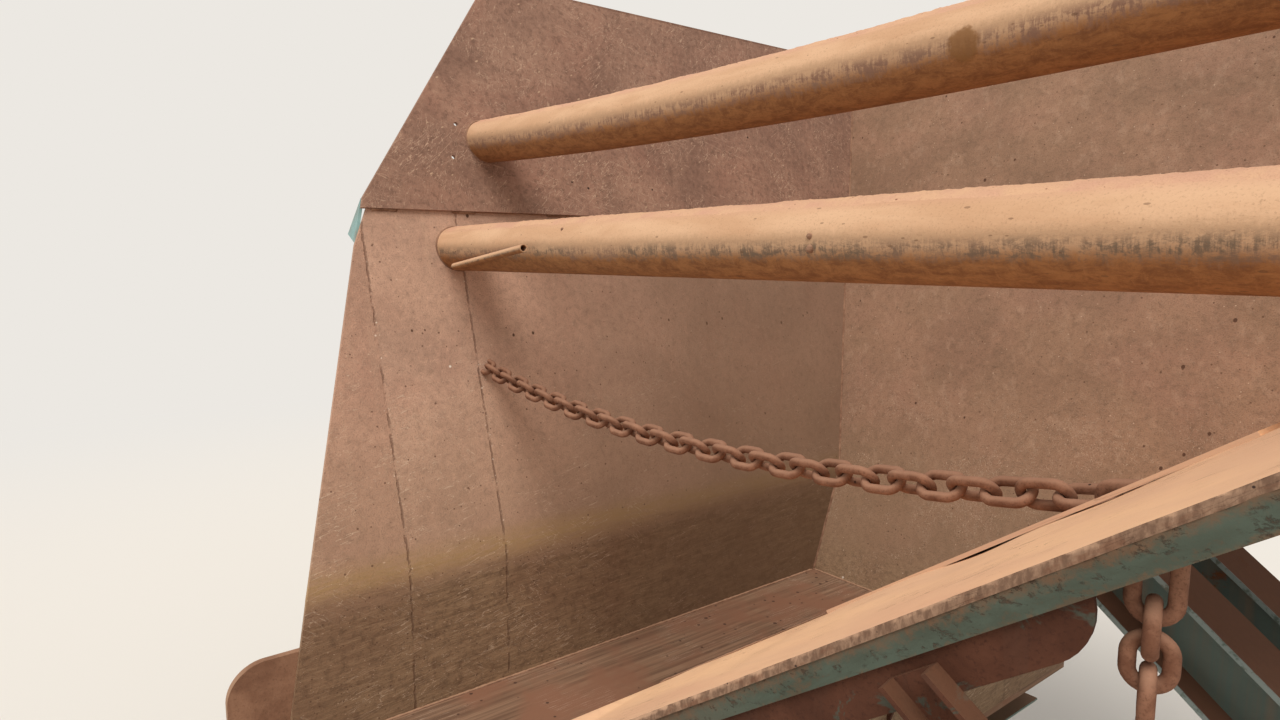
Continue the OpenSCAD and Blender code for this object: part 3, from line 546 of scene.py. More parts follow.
def buckle(s, q):
    """Height of the buckled fold at s up the slope and q behind the front edge."""
    waves = sum(part * math.sin(rate * s + start)
                for part, rate, start in ((0.55, 9.5, 0.6), (0.3, 17.0, 2.0), (0.25, 27.0, 4.0)))
    reach = math.exp(-((q - LIP_W) / 0.13) ** 2)
    fade = smooth(s, 0.05, 0.25) * (1 - 0.75 * smooth(s, 0.7, 1.4))
    ripple = 0.0009 * noise.noise(Vector((s * 7, q * 7, 3)))
    return 0.008 * waves * reach * fade + ripple * smooth(s, 0.02, 0.1)


def plate_height(s, q):
    if q >= LIP_W + FOLD_ROUND:
        drop = 0.0
    elif q >= LIP_W - FOLD_ROUND:
        drop = LIP_DROP / LIP_W * (LIP_W + FOLD_ROUND - q) ** 2 / (4 * FOLD_ROUND)
    else:
        drop = LIP_DROP * (1 - q / LIP_W)
    return buckle(s, q) - drop * smooth(s, 0.0, 0.05)


def slope_plate():
    mesh = bmesh.new()
    columns = 250
    near_q = [i * 0.012 for i in range(42)]
    far_share = [(i / 30) ** 1.3 for i in range(1, 31)]
    rows = [("q", q) for q in near_q] + [("share", f) for f in far_share]
    lay = {}
    for level, side in enumerate((0.0, -PLATE_T)):
        for c in range(columns + 1):
            for r, (kind, value) in enumerate(rows):
                s = SLOPE_LEN * c / columns
                front = EDGE_Y0 + s * EDGE_RISE
                back = back_face(FOOT_Z + s * math.sin(SLOPE)) + BACK_OVER
                q = value if kind == "q" else near_q[-1] + (back - front - near_q[-1]) * value
                n = plate_height(s, q) + side
                lowest = 0.0 if side == 0 else (PLATE_T - PLATE_T * math.sin(SLOPE)) / math.cos(SLOPE)
                highest = SLOPE_LEN + n * math.tan(SLOPE + FLARE)
                s = lowest + (highest - lowest) * c / columns
                y = front + q
                if r == 0:
                    y += (0.0022 * noise.noise(Vector((s * 60, side * 90, 0)))
                          + 0.0012 * noise.noise(Vector((s * 330, side * 90, 7))))
                lay[level, c, r] = mesh.verts.new(on_slope(s, y, n))
    last = len(rows) - 1
    for c in range(columns):
        for r in range(last):
            mesh.faces.new((lay[0, c, r], lay[0, c + 1, r], lay[0, c + 1, r + 1], lay[0, c, r + 1]))
            mesh.faces.new((lay[1, c, r], lay[1, c, r + 1], lay[1, c + 1, r + 1], lay[1, c + 1, r]))
        mesh.faces.new((lay[0, c, last], lay[0, c + 1, last], lay[1, c + 1, last], lay[1, c, last]))
    # the burnt front edge gets three rows of its own between the two faces
    strips = [[lay[0, c, 0] for c in range(columns + 1)]]
    for k in (1, 2, 3):
        strip = []
        for c in range(columns + 1):
            a, b = lay[0, c, 0].co, lay[1, c, 0].co
            point = a.lerp(b, k / 4)
            ragged = 0.0016 * noise.noise(Vector((c * 1.9, k * 1.7, 2))) + 0.0010 * math.sin(math.pi * k / 4)
            strip.append(mesh.verts.new(point - Vector((0, ragged, 0))))
        strips.append(strip)
    strips.append([lay[1, c, 0] for c in range(columns + 1)])
    for a, b in zip(strips, strips[1:]):
        for c in range(columns):
            mesh.faces.new((a[c], b[c], b[c + 1], a[c + 1]))
    for c in (0, columns):
        side = [strip[c] for strip in strips]
        mesh.faces.new([lay[0, c, 1]] + side + [lay[1, c, 1]])
        for r in range(1, last):
            mesh.faces.new((lay[0, c, r], lay[1, c, r], lay[1, c, r + 1], lay[0, c, r + 1]))
    return mesh


dusty = Finish("near_slope_dust", specular=0.2)
nz = dusty.axes(dusty.facing)[2]
turn = (0, -SLOPE, 0)
cloud = dusty.noise((0.6, 0.25, 0.3), 4.0, 0.55, 0.3, turn)
sand = dusty.noise(0.003, 3.0, 0.7)
drift = dusty.noise((0.055, 0.022, 0.02), 5.0, 0.72, 0.4, (0, -SLOPE, 0.16))
tone = dusty.blend(cloud, 0.35, 0.65, (246, 199, 156), (232, 186, 150))
tone = dusty.coats(tone,
    (dusty.step(cloud.other("Color"), 0.45, 0.75) * 0.35, (228, 168, 136)),
    (dusty.step(drift, 0.5, 0.8) * 0.3, (210, 162, 128)),
    (dusty.step(sand, 0.56, 0.8) * 0.4, (198, 150, 116)))
cuts = dusty.scratches((0.8, 0.018, 0.02), (0, -SLOPE, 0.16), (1, 0, 0), 0.0045, 0.54)
cuts = cuts.most(dusty.scratches((0.35, 0.03, 0.02), (0, -SLOPE, 0.4), (5, 2, 0), 0.004, 0.6))
tone = dusty.coats(tone,
    (cuts * 0.65, (142, 102, 80)),
    (dusty.specks(0.07, 0.045, 0.7, 0.4), (78, 56, 46)))
top = dusty.step(nz, 0.25, 0.6)
burn = dusty.noise((0.009, 0.012, 0.022), 4.0, 0.65, 0.3)
flow = dusty.noise((0.05, 0.02, 0.02), 4.0, 0.65, 0.3, turn)
edge = dusty.blend(burn, 0.35, 0.65, (116, 89, 72), (152, 121, 99))
edge = dusty.coats(edge,
    (dusty.step(flow, 0.5, 0.68) * 0.5, (116, 76, 56)),
    (dusty.step(burn, 0.62, 0.76) * 0.4, (190, 156, 130)),
    (dusty.step(nz + (burn - 0.5) * 0.2, 0.12, 0.3) * 0.7, (204, 164, 134)),
    (dusty.specks(0.012, 0.3, 0.7), (64, 48, 42)))
under_cloud = dusty.noise(0.25, 5.0, 0.65, 0.4)
under = dusty.blend(under_cloud, 0.4, 0.6, (106, 70, 52), (88, 102, 94))
under = dusty.mix(dusty.step(dusty.noise(0.02, 4.0), 0.5, 0.7) * 0.6, under, seen(84, 54, 40))
tone = dusty.mix(top, dusty.mix(dusty.step(nz, -0.35, -0.7), edge, under), tone)
height = cloud * 0.9 + drift * 0.2 + sand * 0.16 - cuts * 0.45
height = height + (1 - top) * (burn * 0.25 + flow * 0.3)
dusty.set(Base_Color=tone, Roughness=0.95, Normal=dusty.bump(height, 0.0026))
plate = made("near_slope_plate_buckled", slope_plate(), dusty, "dusty_plate", smooth=50)

# slot burnt through the plate for the chain, with a wandering hand-cut outline
SLOT_S, SLOT_Y, SLOT_L, SLOT_W, SLOT_CUT = 1.2170, 1.110, 0.270, 0.098, 0.06


def slot_cutter():
    mesh = bmesh.new()
    half, radius = (SLOT_L - SLOT_W) / 2, SLOT_W / 2
    outline = []
    for i in range(72):
        a = math.tau * i / 72
        c, s = math.cos(a), math.sin(a)
        r = radius + 0.0016 * noise.noise(Vector((i * 0.9, 0, 5)))
        outline.append((SLOT_S + (half if c > 0 else -half) + r * c, SLOT_Y + r * s))
    rings = [[mesh.verts.new(on_slope(s, y, n)) for s, y in outline] for n in (-SLOT_CUT, SLOT_CUT)]
    skin(mesh, rings)
    return placed("slot_cutter", mesh)


def carve(piece, cutter):
    """Cuts a hole and keeps the result as the piece's own mesh."""
    cut = piece.modifiers.new("hole", "BOOLEAN")
    cut.operation, cut.solver, cut.object = "DIFFERENCE", "EXACT", cutter
    bpy.context.view_layer.update()
    found = bpy.data.meshes.new_from_object(piece.evaluated_get(bpy.context.evaluated_depsgraph_get()))
    piece.modifiers.clear()
    piece.data = found
    bpy.data.objects.remove(cutter)


carve(plate, slot_cutter())
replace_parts(plate, "near_slope_plate")

# Liner on the slope
# 8 mm wear plate laid on the middle of the slope, behind the fold. The same thick tan
# dust lies on it, rubbed in long streaks.
liner = Finish("liner_finish", specular=0.2)
cloud = liner.noise(0.3, 4.0, 0.6, 0.3)
sand = liner.noise(0.003, 3.0, 0.7)
tone = liner.blend(cloud, 0.35, 0.65, (240, 192, 148), (222, 174, 138))
tone = liner.mix(liner.step(sand, 0.55, 0.8) * 0.4, tone, seen(196, 148, 114))
rubbed = liner.scratches((0.5, 0.02, 0.02), (0, -SLOPE, 0.16), (3, 0, 0), 0.006, 0.5)
tone = liner.mix(rubbed * 0.5, tone, seen(150, 112, 88))
front = liner.step(liner.axes(liner.facing)[2], 0.6, 0.3)
tone = liner.mix(front * 0.7, tone, seen(196, 160, 136))
liner.set(Base_Color=tone, Roughness=0.95, Normal=liner.bump(cloud + sand * 0.2 - rubbed * 0.3, 0.0022))
liner.on("near_liner")

# Edge rib
# 54 mm flat on edge, welded under the front of the lip. Teal paint darkened by painted shade, with clusters
# of dark rust, brown where water runs off the burnt edge and along its foot.
rib = Finish("edge_rib_paint", specular=0.35)
across, _, rise = rib.axes(rib.laid(1.0, (0, -SLOPE, 0), tuple(hopper(PAN_HALF, 0, FOOT_Z))))
nz = rib.axes(rib.facing)[2]
cloud = rib.noise((0.22, 0.1, 0.08), 5.0, 0.65, 0.4, (0, -SLOPE, 0))
fine = rib.noise(0.018, 5.0, 0.7, 0.3)
grain = rib.noise(0.005, 4.0, 0.7)
# the teal base is darkened to the rib's look in shade under the lip: painted shade
tone = rib.blend(cloud, 0.35, 0.65, (80, 90, 78), (68, 74, 62))
tone = rib.coats(tone,
    (rib.step(cloud + (fine - 0.5) * 0.5, 0.56, 0.66) * 0.7, (90, 74, 56)),
    (rib.step(across, 0.75, 0.35) * (0.45 + fine * 0.4), (94, 70, 52)))
stain = rib.step(rise + (fine - 0.5) * 0.06, -0.078, -0.05)
tone = rib.mix(stain * 0.8, tone, seen(112, 82, 60))
foot = rib.step(rise + (fine - 0.5) * 0.045, -0.092, -0.112)
tone = rib.mix(foot * 0.85, tone, seen(118, 80, 52))
crowded = rib.step(rib.noise((0.14, 0.06, 0.03), 4.0, 0.65, 0.4, (0, -SLOPE, 0)), 0.42, 0.56)
pits = rib.step(rib.noise((0.026, 0.018, 0.014), 6.0, 0.78, 0.2), 0.54, 0.64) * crowded
tone = rib.mix(pits * 0.75, tone, rib.mix(grain, seen(50, 40, 32), seen(92, 64, 44)))
tone = rib.coats(tone,
    (rib.specks(0.06, 0.12, 0.6), (56, 42, 34)),
    (rib.step(grain, 0.55, 0.78) * 0.35, (72, 66, 56)),
    (rib.step(nz, 0.5, 0.8), (176, 138, 108)))
rib.set(Base_Color=tone, Roughness=0.72 + grain * 0.2,
        Normal=rib.bump(cloud + fine * 0.5 + grain * 0.2 - pits * 0.5, 0.0018))
rib.on("near_edge_rib")

# Haunch webs
# 12 mm webs between the near skirt and the slope, round at their outer ends, the front
# one with a channel stay. The paint has mostly gone to red-brown rust, with a few
# teal patches left; rust and paint are darkened by painted shade, the shade under the slope.
web = Finish("haunch_web", specular=0.25)
cloud = web.noise(0.16, 5.0, 0.65, 0.5)
grain = web.noise(0.008, 4.0, 0.72)
runs = web.noise((0.05, 0.05, 0.4), 4.0, 0.65, 0.3)
# rust and teal tones are the dark ones they show under the slope: painted shade
tone = web.blend(cloud, 0.35, 0.62, (74, 42, 28), (90, 54, 38))
tone = web.mix(web.step(runs, 0.52, 0.7) * 0.45, tone, seen(80, 54, 42))
paint_left = web.step(web.noise(0.13, 5.0, 0.7, 0.6, shift=(4, 4, 4)), 0.57, 0.63)
tone = web.coats(tone,
    (paint_left * 0.8, (72, 78, 68)),
    (web.step(grain, 0.5, 0.72) * 0.6, (54, 30, 22)),
    (web.step(web.axes(web.facing)[2], 0.3, 0.8) * 0.5, (116, 80, 58)))
web.set(Base_Color=tone, Roughness=0.82 + grain * 0.12, Normal=web.bump(cloud + grain * 0.4, 0.002))
web.on("near_front_web", "near_rear_webs")

# Raking beams
# Pairs of 125 mm wide-flange beams from under the slope to the carrier beam. Greyed
# teal webs, and flanges brown with dust except for their bare light edges.
BEAM_H, FIRST_BEAM, BEAM_PITCH, PAIR_PITCH = 0.125, 1.210, 1.050, 0.220
BEAM_YS = [FIRST_BEAM + BEAM_PITCH * i + PAIR_PITCH * k for i in range(3) for k in range(2)]
beams = teal("raking_beam_paint", (98, 116, 108), 11.0, dusty=0.3, rusty=0.3, dust=(128, 84, 62))
y = beams.axes(beams.here)[1] - pan_low.y
front = abs(y - (BEAM_YS[0] - BEAM_H / 2))
for row in BEAM_YS[1:]:
    front = front.least(abs(y - (row - BEAM_H / 2)))
worn = beams.step(beams.noise(0.02, 4.0, 0.65), 0.36, 0.5) * beams.step(front, 0.003, 0.001)
beams.set(Base_Color=beams.mix(worn * 0.8, beams.tone, seen(150, 160, 156)))
beams.on("near_beams_1", "near_beams_2", "near_beams_3")

# Brace pipes
# 183 mm steel pipes welded between the walls, the upper one sagged and the lower one a
# little askew. Tan dust on top, a worn grey band along the side, orange rust underneath.
PIPE_R, PIPE_PARTS, PIPE_SIDES = 0.0915, 96, 56
TOP_PIPE_Y, TOP_PIPE_Z, TOP_PIPE_SAG = 1.357, 3.460, 0.050
LOW_PIPE_Y, LOW_PIPE_Z, LOW_PIPE_SKEW = 1.150, 2.985, 0.085


def far_face(z, lapped=True):
    """Across place of the far wall's inner face at a height."""
    return -PAN_HALF - (z - BEND_Z) * math.tan(FLARE) + (PLATE_T / math.cos(FLARE) if lapped else 0)


def near_face(z):
    """Across place of the near side's inner face at a height."""
    if z > SEAM_Z:
        return PAN_HALF + SLOPE_LEN * math.cos(SLOPE) + (z - SEAM_Z) * math.tan(FLARE)
    return PAN_HALF + (z - FOOT_Z) / math.tan(SLOPE)


TOP_ENDS = far_face(TOP_PIPE_Z, False), near_face(TOP_PIPE_Z)
LOW_ENDS = far_face(LOW_PIPE_Z, False), near_face(LOW_PIPE_Z)


def top_axis(x):
    """Along and up places of the upper pipe's axis at a place across."""
    share = (x - TOP_ENDS[0]) / (TOP_ENDS[1] - TOP_ENDS[0])
    return TOP_PIPE_Y, TOP_PIPE_Z - TOP_PIPE_SAG * (1 - (2 * share - 1) ** 2)


def low_axis(x):
    share = (x - LOW_ENDS[0]) / (LOW_ENDS[1] - LOW_ENDS[0])
    return LOW_PIPE_Y - LOW_PIPE_SKEW * share, LOW_PIPE_Z


def pipe_finish(name, streaky, grey, seed):
    finish = Finish(name, specular=0.3)
    nz = finish.axes(finish.facing)[2]
    cloud = finish.noise((0.4, 0.12, 0.1), 5.0, 0.6, 0.4, shift=(seed, 0, 0))
    patch = finish.noise((0.055, 0.026, 0.026), 7.0, 0.8, 0.4, shift=(0, seed, 0))
    drips = finish.noise((0.010, 0.03, 0.075), 6.0, 0.76, 0.3, shift=(0, 0, seed))
    grain = finish.noise(0.0045, 3.0, 0.7)
    level = nz + (cloud - 0.5) * 0.3 + (patch - 0.5) * 0.35 + (drips - 0.5) * 0.35 * streaky
    tone = finish.blend(cloud, 0.35, 0.65, (220, 178, 142), (206, 162, 126))
    tone = finish.coats(tone,
        (finish.step(nz, 0.62, 0.95) * 0.6, (204, 154, 128)),
        (finish.step(level, 0.35, 0.02) * 0.7, (176, 140, 108)))
    rust = finish.blend(patch, 0.35, 0.65, (158, 108, 66), (122, 78, 46))
    rust = finish.mix(finish.step(drips, 0.5, 0.75) * 0.4, rust, seen(176, 124, 80))
    tone = finish.mix(finish.step(level, -0.12, -0.5), tone, rust)
    band = finish.step(abs(level + 0.2), 0.36, 0.06)
    blots = finish.step(patch + (drips - 0.5) * streaky, 0.4, 0.62)
    greys = finish.blend(cloud, 0.4, 0.62, grey, (128, 98, 82))
    tone = finish.mix(band * blots * 0.82, tone, greys)
    tone = finish.coats(tone,
        (finish.step(grain, 0.52, 0.78) * 0.4, (122, 88, 66)),
        (finish.specks(0.06, 0.035, 0.72) * 0.6, (96, 70, 54)))
    flaked = finish.specks((0.03, 0.012, 0.012), 0.25, 0.75, shift=(seed, 3, 0))
    tone = finish.mix(flaked * 0.5, tone, seen(100, 70, 48))
    return finish, tone, cloud * 0.9 + patch * 0.45 + drips * 0.15 + grain * 0.22, grain


low_pipe, tone, height, grain = pipe_finish("lower_pipe_rust", 0.7, (90, 78, 66), 2.0)
low_pipe.set(Base_Color=tone, Roughness=0.8 + grain * 0.18, Normal=low_pipe.bump(height, 0.003))
low_pipe.on("lower_pipe", "stub_tube")

# a round ochre scar where a bracket was burnt off the front of the upper pipe
SCAR_AT = (1.200, 1.2675, 3.394)
high_pipe, tone, height, grain = pipe_finish("upper_pipe_rust", 1.0, (122, 88, 74), 7.0)
from_scar = high_pipe.node("VectorMath", {"operation": "DISTANCE"},
                           {0: high_pipe.here, 1: tuple(hopper(*SCAR_AT))}, 1)
scar = high_pipe.step(from_scar + (high_pipe.noise(0.02, 3.0) - 0.5) * 0.03, 0.042, 0.028)
tone = high_pipe.mix(scar * 0.85, tone, seen(132, 90, 50))
high_pipe.set(Base_Color=tone, Roughness=0.8 + grain * 0.18,
              Normal=high_pipe.bump(height + scar * 0.6, 0.003))

top_pipe = bmesh.new()
ends = [far_face(TOP_PIPE_Z), near_face(TOP_PIPE_Z)]
span = ends[1] - ends[0]
rings = []
for i in range(PIPE_PARTS + 1):
    x = ends[0] + span * i / PIPE_PARTS
    axis_y, axis_z = top_axis(x)
    lean = math.atan(-4 * TOP_PIPE_SAG * (1 - 2 * i / PIPE_PARTS) / span)
    ring = []
    for k in range(PIPE_SIDES):
        a = math.tau * k / PIPE_SIDES
        dent = 1 + 0.008 * noise.noise(Vector((x * 3, math.cos(a), math.sin(a) + 9)))
        out, up = math.cos(a) * PIPE_R * dent, math.sin(a) * PIPE_R * dent
        rise = axis_z + up * math.cos(lean)
        here = x - up * math.sin(lean)
        if i == 0:
            here = far_face(rise)
        elif i == PIPE_PARTS:
            here = near_face(rise)
        ring.append(top_pipe.verts.new(hopper(here, axis_y + out, rise)))
    rings.append(ring)
skin(top_pipe, rings)
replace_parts(made("upper_pipe_sagged", top_pipe, high_pipe, "pipe_rust", smooth=60), "upper_pipe")

# Dust on the pipes
# Dust and grit caked along the tops of both pipes, a few millimetres thick and crumbly,
# so that their upper outlines are rough.
DUST_REACH, DUST_SUNK, DUST_FILM, DUST_CLUMP = math.radians(52), 0.0012, 0.0022, 0.0062


def caked(mesh, axis, ends, seed):
    """Lays a crust with an uneven border along the top of a pipe."""
    columns, rows = 640, 18
    lay = {}
    for i in range(columns + 1):
        x = ends[0] + 0.03 + (ends[1] - ends[0] - 0.09) * i / columns
        axis_y, axis_z = axis(x)
        for k in range(rows + 1):
            a = DUST_REACH * (2 * k / rows - 1)
            wobble = 0.16 * noise.noise(Vector((x * 9, a, seed)))
            cover = max(0.0, 1 - (abs(a) / (DUST_REACH * (0.82 + wobble))) ** 3)
            clump = 0.5 + 0.5 * noise.noise(Vector((x * 60, a * 5.5, seed)))
            clump += 0.45 * noise.noise(Vector((x * 170, a * 16, seed)))
            heap = 0.6 + 0.6 * noise.noise(Vector((x * 7, a, seed + 4)))
            thick = -DUST_SUNK + cover * (DUST_FILM + DUST_CLUMP * max(0.0, clump) * heap)
            for level, radius in enumerate((PIPE_R + thick, PIPE_R - 0.004)):
                point = hopper(x, axis_y + radius * math.sin(a), axis_z + radius * math.cos(a))
                lay[level, i, k] = mesh.verts.new(point)
    for i in range(columns):
        for k in range(rows):
            mesh.faces.new((lay[0, i, k], lay[0, i + 1, k], lay[0, i + 1, k + 1], lay[0, i, k + 1]))
            mesh.faces.new((lay[1, i, k], lay[1, i, k + 1], lay[1, i + 1, k + 1], lay[1, i + 1, k]))
        for k in (0, rows):
            mesh.faces.new((lay[0, i, k], lay[1, i, k], lay[1, i + 1, k], lay[0, i + 1, k]))
    for i in (0, columns):
        for k in range(rows):
            mesh.faces.new((lay[0, i, k], lay[0, i, k + 1], lay[1, i, k + 1], lay[1, i, k]))


grit = Finish("caked_dust", specular=0.15)
cloud = grit.noise(0.12, 5.0, 0.65, 0.3)
sand = grit.noise(0.004, 3.0, 0.7)
tone = grit.blend(cloud, 0.35, 0.65, (214, 166, 138), (222, 178, 142))
tone = grit.coats(tone,
    (grit.step(sand, 0.5, 0.75) * 0.5, (180, 132, 106)),
    (grit.specks(0.012, 0.3, 0.8), (150, 100, 80)))
grit.set(Base_Color=tone, Roughness=1.0, Normal=grit.bump(sand + cloud, 0.0022))
dust = bmesh.new()
caked(dust, low_axis, LOW_ENDS, 1.0)
made("lower_pipe_dust", dust, grit, "dusty_plate", smooth=60)
dust = bmesh.new()
caked(dust, top_axis, TOP_ENDS, 5.0)
made("upper_pipe_dust", dust, grit, "dusty_plate", smooth=60)

# Weld beads
# Stick welds where plates, pipes and sections meet: a rippled bead, brown with rust and
# dulled by dust. Each is half sunk in the joint that it fills.


def bead(mesh, path, wide, high, pitch=0.006):
    """A bead along (point, way out) pairs, closed at its ends."""
    places = []
    for (a, out_a), (b, out_b) in zip(path, path[1:]):
        parts = max(1, round((b - a).length / pitch))
        places += [(a.lerp(b, i / parts), out_a.lerp(out_b, i / parts)) for i in range(parts)]
    places.append(path[-1])
    rings = []
    for i, (at, out) in enumerate(places):
        forward = places[min(len(places) - 1, i + 1)][0] - places[max(0, i - 1)][0]
        side = forward.cross(out).normalized()
        out = side.cross(forward).normalized()
        swell = 1 + 0.10 * (i % 3 - 1) + 0.22 * noise.noise(at * 40)
        if i in (0, len(places) - 1):
            swell = 0.4
        rings.append(ring_of(mesh, at, side * (wide / 2), out * high, swell, 8))
    skin(mesh, rings)


def steps(low, high, count):
    return [low + (high - low) * i / count for i in range(count + 1)]


# width, height and, where it isn't the usual one, pitch of the ripples
LAP_BEAD, PIPE_BEAD = (0.014, 0.006), (0.011, 0.005)
CORNER_BEAD, KNUCKLE_BEAD = (0.014, 0.007, 0.012), (0.016, 0.004, 0.012)
LAP_Z, BEAD_TOP = SEAM_Z - 0.045 * math.cos(FLARE), RIM_Z - 0.010
STITCHES, STITCH_L = (0.800, 1.150, 1.620, 2.140, 2.680), 0.11
beads = bmesh.new()
# stitches under the lap of the upper plate
for start in STITCHES:
    under_lap = [hopper(far_face(LAP_Z, False) + 0.003, start + STITCH_L * k, LAP_Z - 0.002) for k in (0, 1)]
    bead(beads, [(point, Vector((1, 0, -0.8))) for point in under_lap], *LAP_BEAD)
# round both ends of both pipes
for axis, ends, lapped in ((top_axis, TOP_ENDS, True), (low_axis, LOW_ENDS, False)):
    for face, x, inward in ((lambda z: far_face(z, lapped), ends[0], 1), (near_face, ends[1], -1)):
        axis_y, axis_z = axis(x)
        ring = []
        for k in range(49):
            a = math.tau * k / 48
            y, z = axis_y + PIPE_R * math.cos(a), axis_z + PIPE_R * math.sin(a)
            ring.append((hopper(face(z), y, z), Vector((inward, math.cos(a), math.sin(a)))))
        bead(beads, ring, *PIPE_BEAD)
# corners of the pan and of the back plate
for side in (-1, 1):
    places = [hopper(side * PAN_HALF, 0.09 + 0.3 * k, PAN_TOP) for k in range(11)]
    bead(beads, [(place, Vector((-side, 0, 1))) for place in places], *CORNER_BEAD)
for heights, face, out in (
        ([PAN_TOP, BEND_Z] + steps(BEND_Z + 0.1, SEAM_Z - 0.05, 6), lambda z: far_face(max(z, BEND_Z), False),
         (1, -1, 0)),
        (steps(SEAM_Z - 0.03, BEAD_TOP, 6), far_face, (1, -1, 0)),
        ([PAN_TOP, FOOT_Z], lambda z: PAN_HALF, (-1, -1, 0)),
        (steps(FOOT_Z, BEAD_TOP, 12), near_face, (-1, -1, 0.5))):
    bead(beads, [(hopper(face(z), back_face(z), z), Vector(out)) for z in heights], *CORNER_BEAD)
places = [hopper(side * PAN_HALF, BACK_FOOT, PAN_TOP) for side in (-1, 1)]
bead(beads, [(place, Vector((0, -1, 1))) for place in places], *CORNER_BEAD)
# knuckle between the slope and the upper plate, and the foot of the slope
for z, out in ((SEAM_Z, Vector((-0.9, 0, 0.45))), (FOOT_Z, Vector((-0.8, 0, 0.6)))):
    front = EDGE_Y0 + (z - FOOT_Z) / math.sin(SLOPE) * EDGE_RISE + LIP_W + 0.05
    bead(beads, [(hopper(near_face(z), y, z), out) for y in (front, back_face(z))], *KNUCKLE_BEAD)
welded = Finish("weld_beads", specular=0.3)
cloud = welded.noise(0.05, 4.0, 0.65)
grain = welded.noise(0.004, 3.0, 0.7)
tone = welded.blend(cloud, 0.35, 0.65, (158, 122, 98), (124, 90, 70))
tone = welded.coats(tone,
    (welded.step(grain, 0.5, 0.75) * 0.5, (92, 64, 50)),
    (welded.step(welded.axes(welded.facing)[2], 0.3, 0.9) * 0.5, (196, 154, 124)))
welded.set(Base_Color=tone, Roughness=0.85, Normal=welded.bump(grain + cloud, 0.0012))
made("weld_beads", beads, welded, "worn_plate", smooth=60)

# lumps of old weld metal left on the front of the lower pipe
lumps = bmesh.new()
for x, around, size in ((1.020, 174, 0.0075), (1.021, 191, 0.010), (-0.040, 144, 0.006)):
    way = Vector((0, math.cos(math.radians(around)), math.sin(math.radians(around))))
    base = hopper(x, *low_axis(x)) + way * (PIPE_R - 0.003)
    rings = []
    for j in range(6):
        t = math.pi / 2 * j / 6
        middle_of_ring = base + way * (1.3 * size * math.sin(t))
        rings.append(ring_of(lumps, middle_of_ring, EAST, way.cross(EAST), size * math.cos(t), 14))
        for corner in rings[-1]:
            corner.co += way * (0.0022 * noise.noise(corner.co * 190))
    skin(lumps, rings)
made("pipe_lumps", lumps, welded, "pipe_rust", smooth=60)

# Chain
# 37 forged links of 21 mm bar from an eye on the far wall to a bar under the near
# slope, and four short links left hanging. Brown all over, dust on the upper sides,
# and each link a little different: worn at its crowns and swollen at its weld.
BAR_D = 0.021


def forged(mesh, corners, luck):
    """Puts one forged link where a CAD solid of the chain is."""
    points = numpy.array([tuple(c) for c in corners])
    ways = numpy.linalg.eigh(numpy.cov((points - points.mean(0)).T))[1]
    long, wide = Vector(ways[:, 2]), Vector(ways[:, 1])
    flat = long.cross(wide)
    reach = (points - points.mean(0)) @ ways
    length, width = numpy.ptp(reach[:, 2]), numpy.ptp(reach[:, 1])
    centre = Vector(points.mean(0) + ways @ ((reach.max(0) + reach.min(0)) / 2))
    radius, half = (width - BAR_D) / 2, (length - width) / 2
    turn_over = 2 * half + math.pi * radius
    count = 44
    weld = luck.choice((0.25, 0.75))
    rings = []
    for i in range(count):
        t = 2 * turn_over * i / count
        # a straight and an arc, then the same again the other way round
        sign, s = (1, t) if t < turn_over else (-1, t - turn_over)
        a = math.pi / 2 - max(0.0, s - 2 * half) / radius
        out = Vector((math.cos(a), math.sin(a))) * sign
        at = Vector((min(s - half, half) * sign, 0)) + out * radius
        swell = 0.05 * math.exp(-((i / count - weld) / 0.02) ** 2)
        worn = 0.05 * abs(out.x) ** 3
        ring = []
        for k in range(14):
            a = math.tau * k / 14
            rough = 0.018 * noise.noise(Vector((t * 60, math.cos(a) * 2, math.sin(a) * 2 + centre.x * 50)))
            r = BAR_D / 2 * (1 + swell - worn + rough)
            point = at + out * (r * math.cos(a))
            ring.append(mesh.verts.new(centre + long * point.x + wide * point.y + flat * (r * math.sin(a))))
        rings.append(ring)
    skin(mesh, rings, closed=True)


iron = Finish("chain_iron", specular=0.3)
nz = iron.axes(iron.facing)[2]
cloud = iron.noise(0.05, 4.0, 0.65, 0.3)
grain = iron.noise(0.004, 3.0, 0.65)
tone = iron.blend(cloud, 0.35, 0.65, (144, 101, 78), (114, 74, 54))
tone = iron.coats(tone,
    (iron.step(grain, 0.48, 0.7) * 0.55, (92, 58, 42)),
    (iron.step(nz, 0.0, 0.8) * 0.6, (182, 138, 112)),
    (iron.specks(0.03, 0.14, 0.6), (66, 42, 32)))
iron.set(Base_Color=tone, Roughness=0.82 + grain * 0.15, Normal=iron.bump(cloud + grain * 0.5, 0.0012))
luck = random.Random(11)
for node in ("chain", "chain_tail"):
    links = bmesh.new()
    for corners in islands(node):
        forged(links, corners, luck)
    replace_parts(made(node + "_forged", links, iron, "chain_iron", smooth=70), node)
iron.on("chain_eye", "chain_pin")

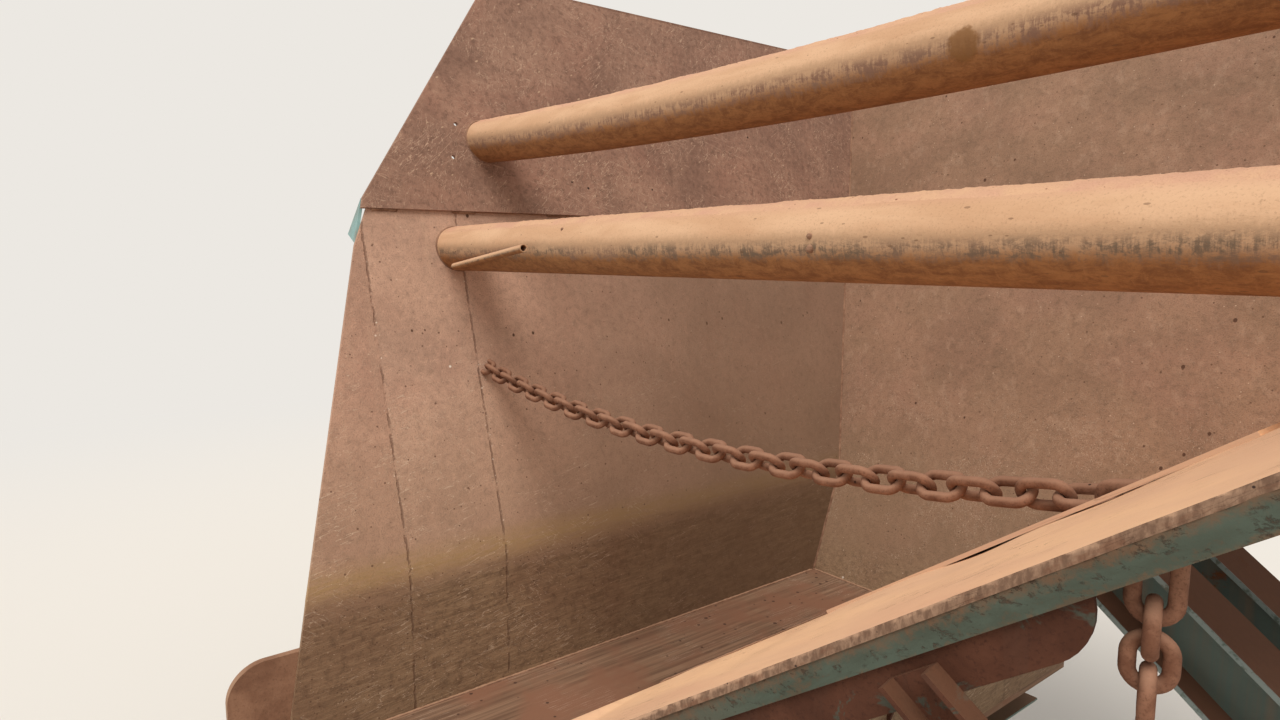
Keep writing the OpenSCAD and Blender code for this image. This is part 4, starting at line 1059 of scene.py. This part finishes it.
# Floor and light
# A wide pale floor that fades into the background, a soft sun from the upper left and
# even light from all round.
FLOOR_R = 60
floor_mesh = bmesh.new()
floor_mesh.faces.new(ring_of(floor_mesh, Vector((0, 0, 0)), EAST, NORTH, FLOOR_R, 96))
ground = placed("floor", floor_mesh)
ground.location.z = -0.0005
PALE = seen(236, 232, 226)
floor_finish = Finish("pale_floor", specular=0.1)
floor_finish.set(Base_Color=seen(226, 221, 214), Roughness=0.9)
far_off = floor_finish.node("VectorMath", {"operation": "LENGTH"}, {0: floor_finish.here}, 1)
rays = floor_finish.node("LightPath")
straight = rays.most(rays.other("Is Glossy Ray")).most(rays.other("Is Transmission Ray"))
glow = floor_finish.node("Emission", {}, {"Color": PALE, "Strength": 1.0})
ground_shader = floor_finish.node("MixShader", {}, {
    0: floor_finish.step(far_off, 6.0, 16.0) * straight,
    1: Signal(floor_finish, floor_finish.shader, 0), 2: glow})
surface = floor_finish.tree.nodes["Material Output"].inputs["Surface"]
floor_finish.tree.links.new(ground_shader.socket, surface)
floor_finish.on(ground)


class Studio(Finish):
    """The light all round; its nodes are made as a finish's are."""

    def __init__(self, world):
        world.use_nodes = True
        self.tree = world.node_tree


world = bpy.data.worlds.new("studio")
bpy.context.scene.world = world
studio = Studio(world)
even = studio.node("Background", {}, {"Color": (1.0, 0.985, 0.96, 1.0), "Strength": 0.62})
backdrop = studio.node("Background", {}, {"Color": PALE, "Strength": 1.0})
rays = studio.node("LightPath")
both = studio.node("MixShader", {}, {0: rays.most(rays.other("Is Glossy Ray")), 1: even, 2: backdrop})
studio.tree.links.new(both.socket, studio.tree.nodes["World Output"].inputs["Surface"])

sun = bpy.data.lights.new("soft_sun", "SUN")
sun.energy = 2.1
sun.angle = math.radians(35)
sun.color = (1.0, 0.97, 0.92)
key = bpy.data.objects.new("soft_sun", sun)
key.rotation_euler = (math.radians(32), 0, math.radians(41))
bpy.context.scene.collection.objects.link(key)

bpy.context.scene.view_settings.view_transform = "Standard"
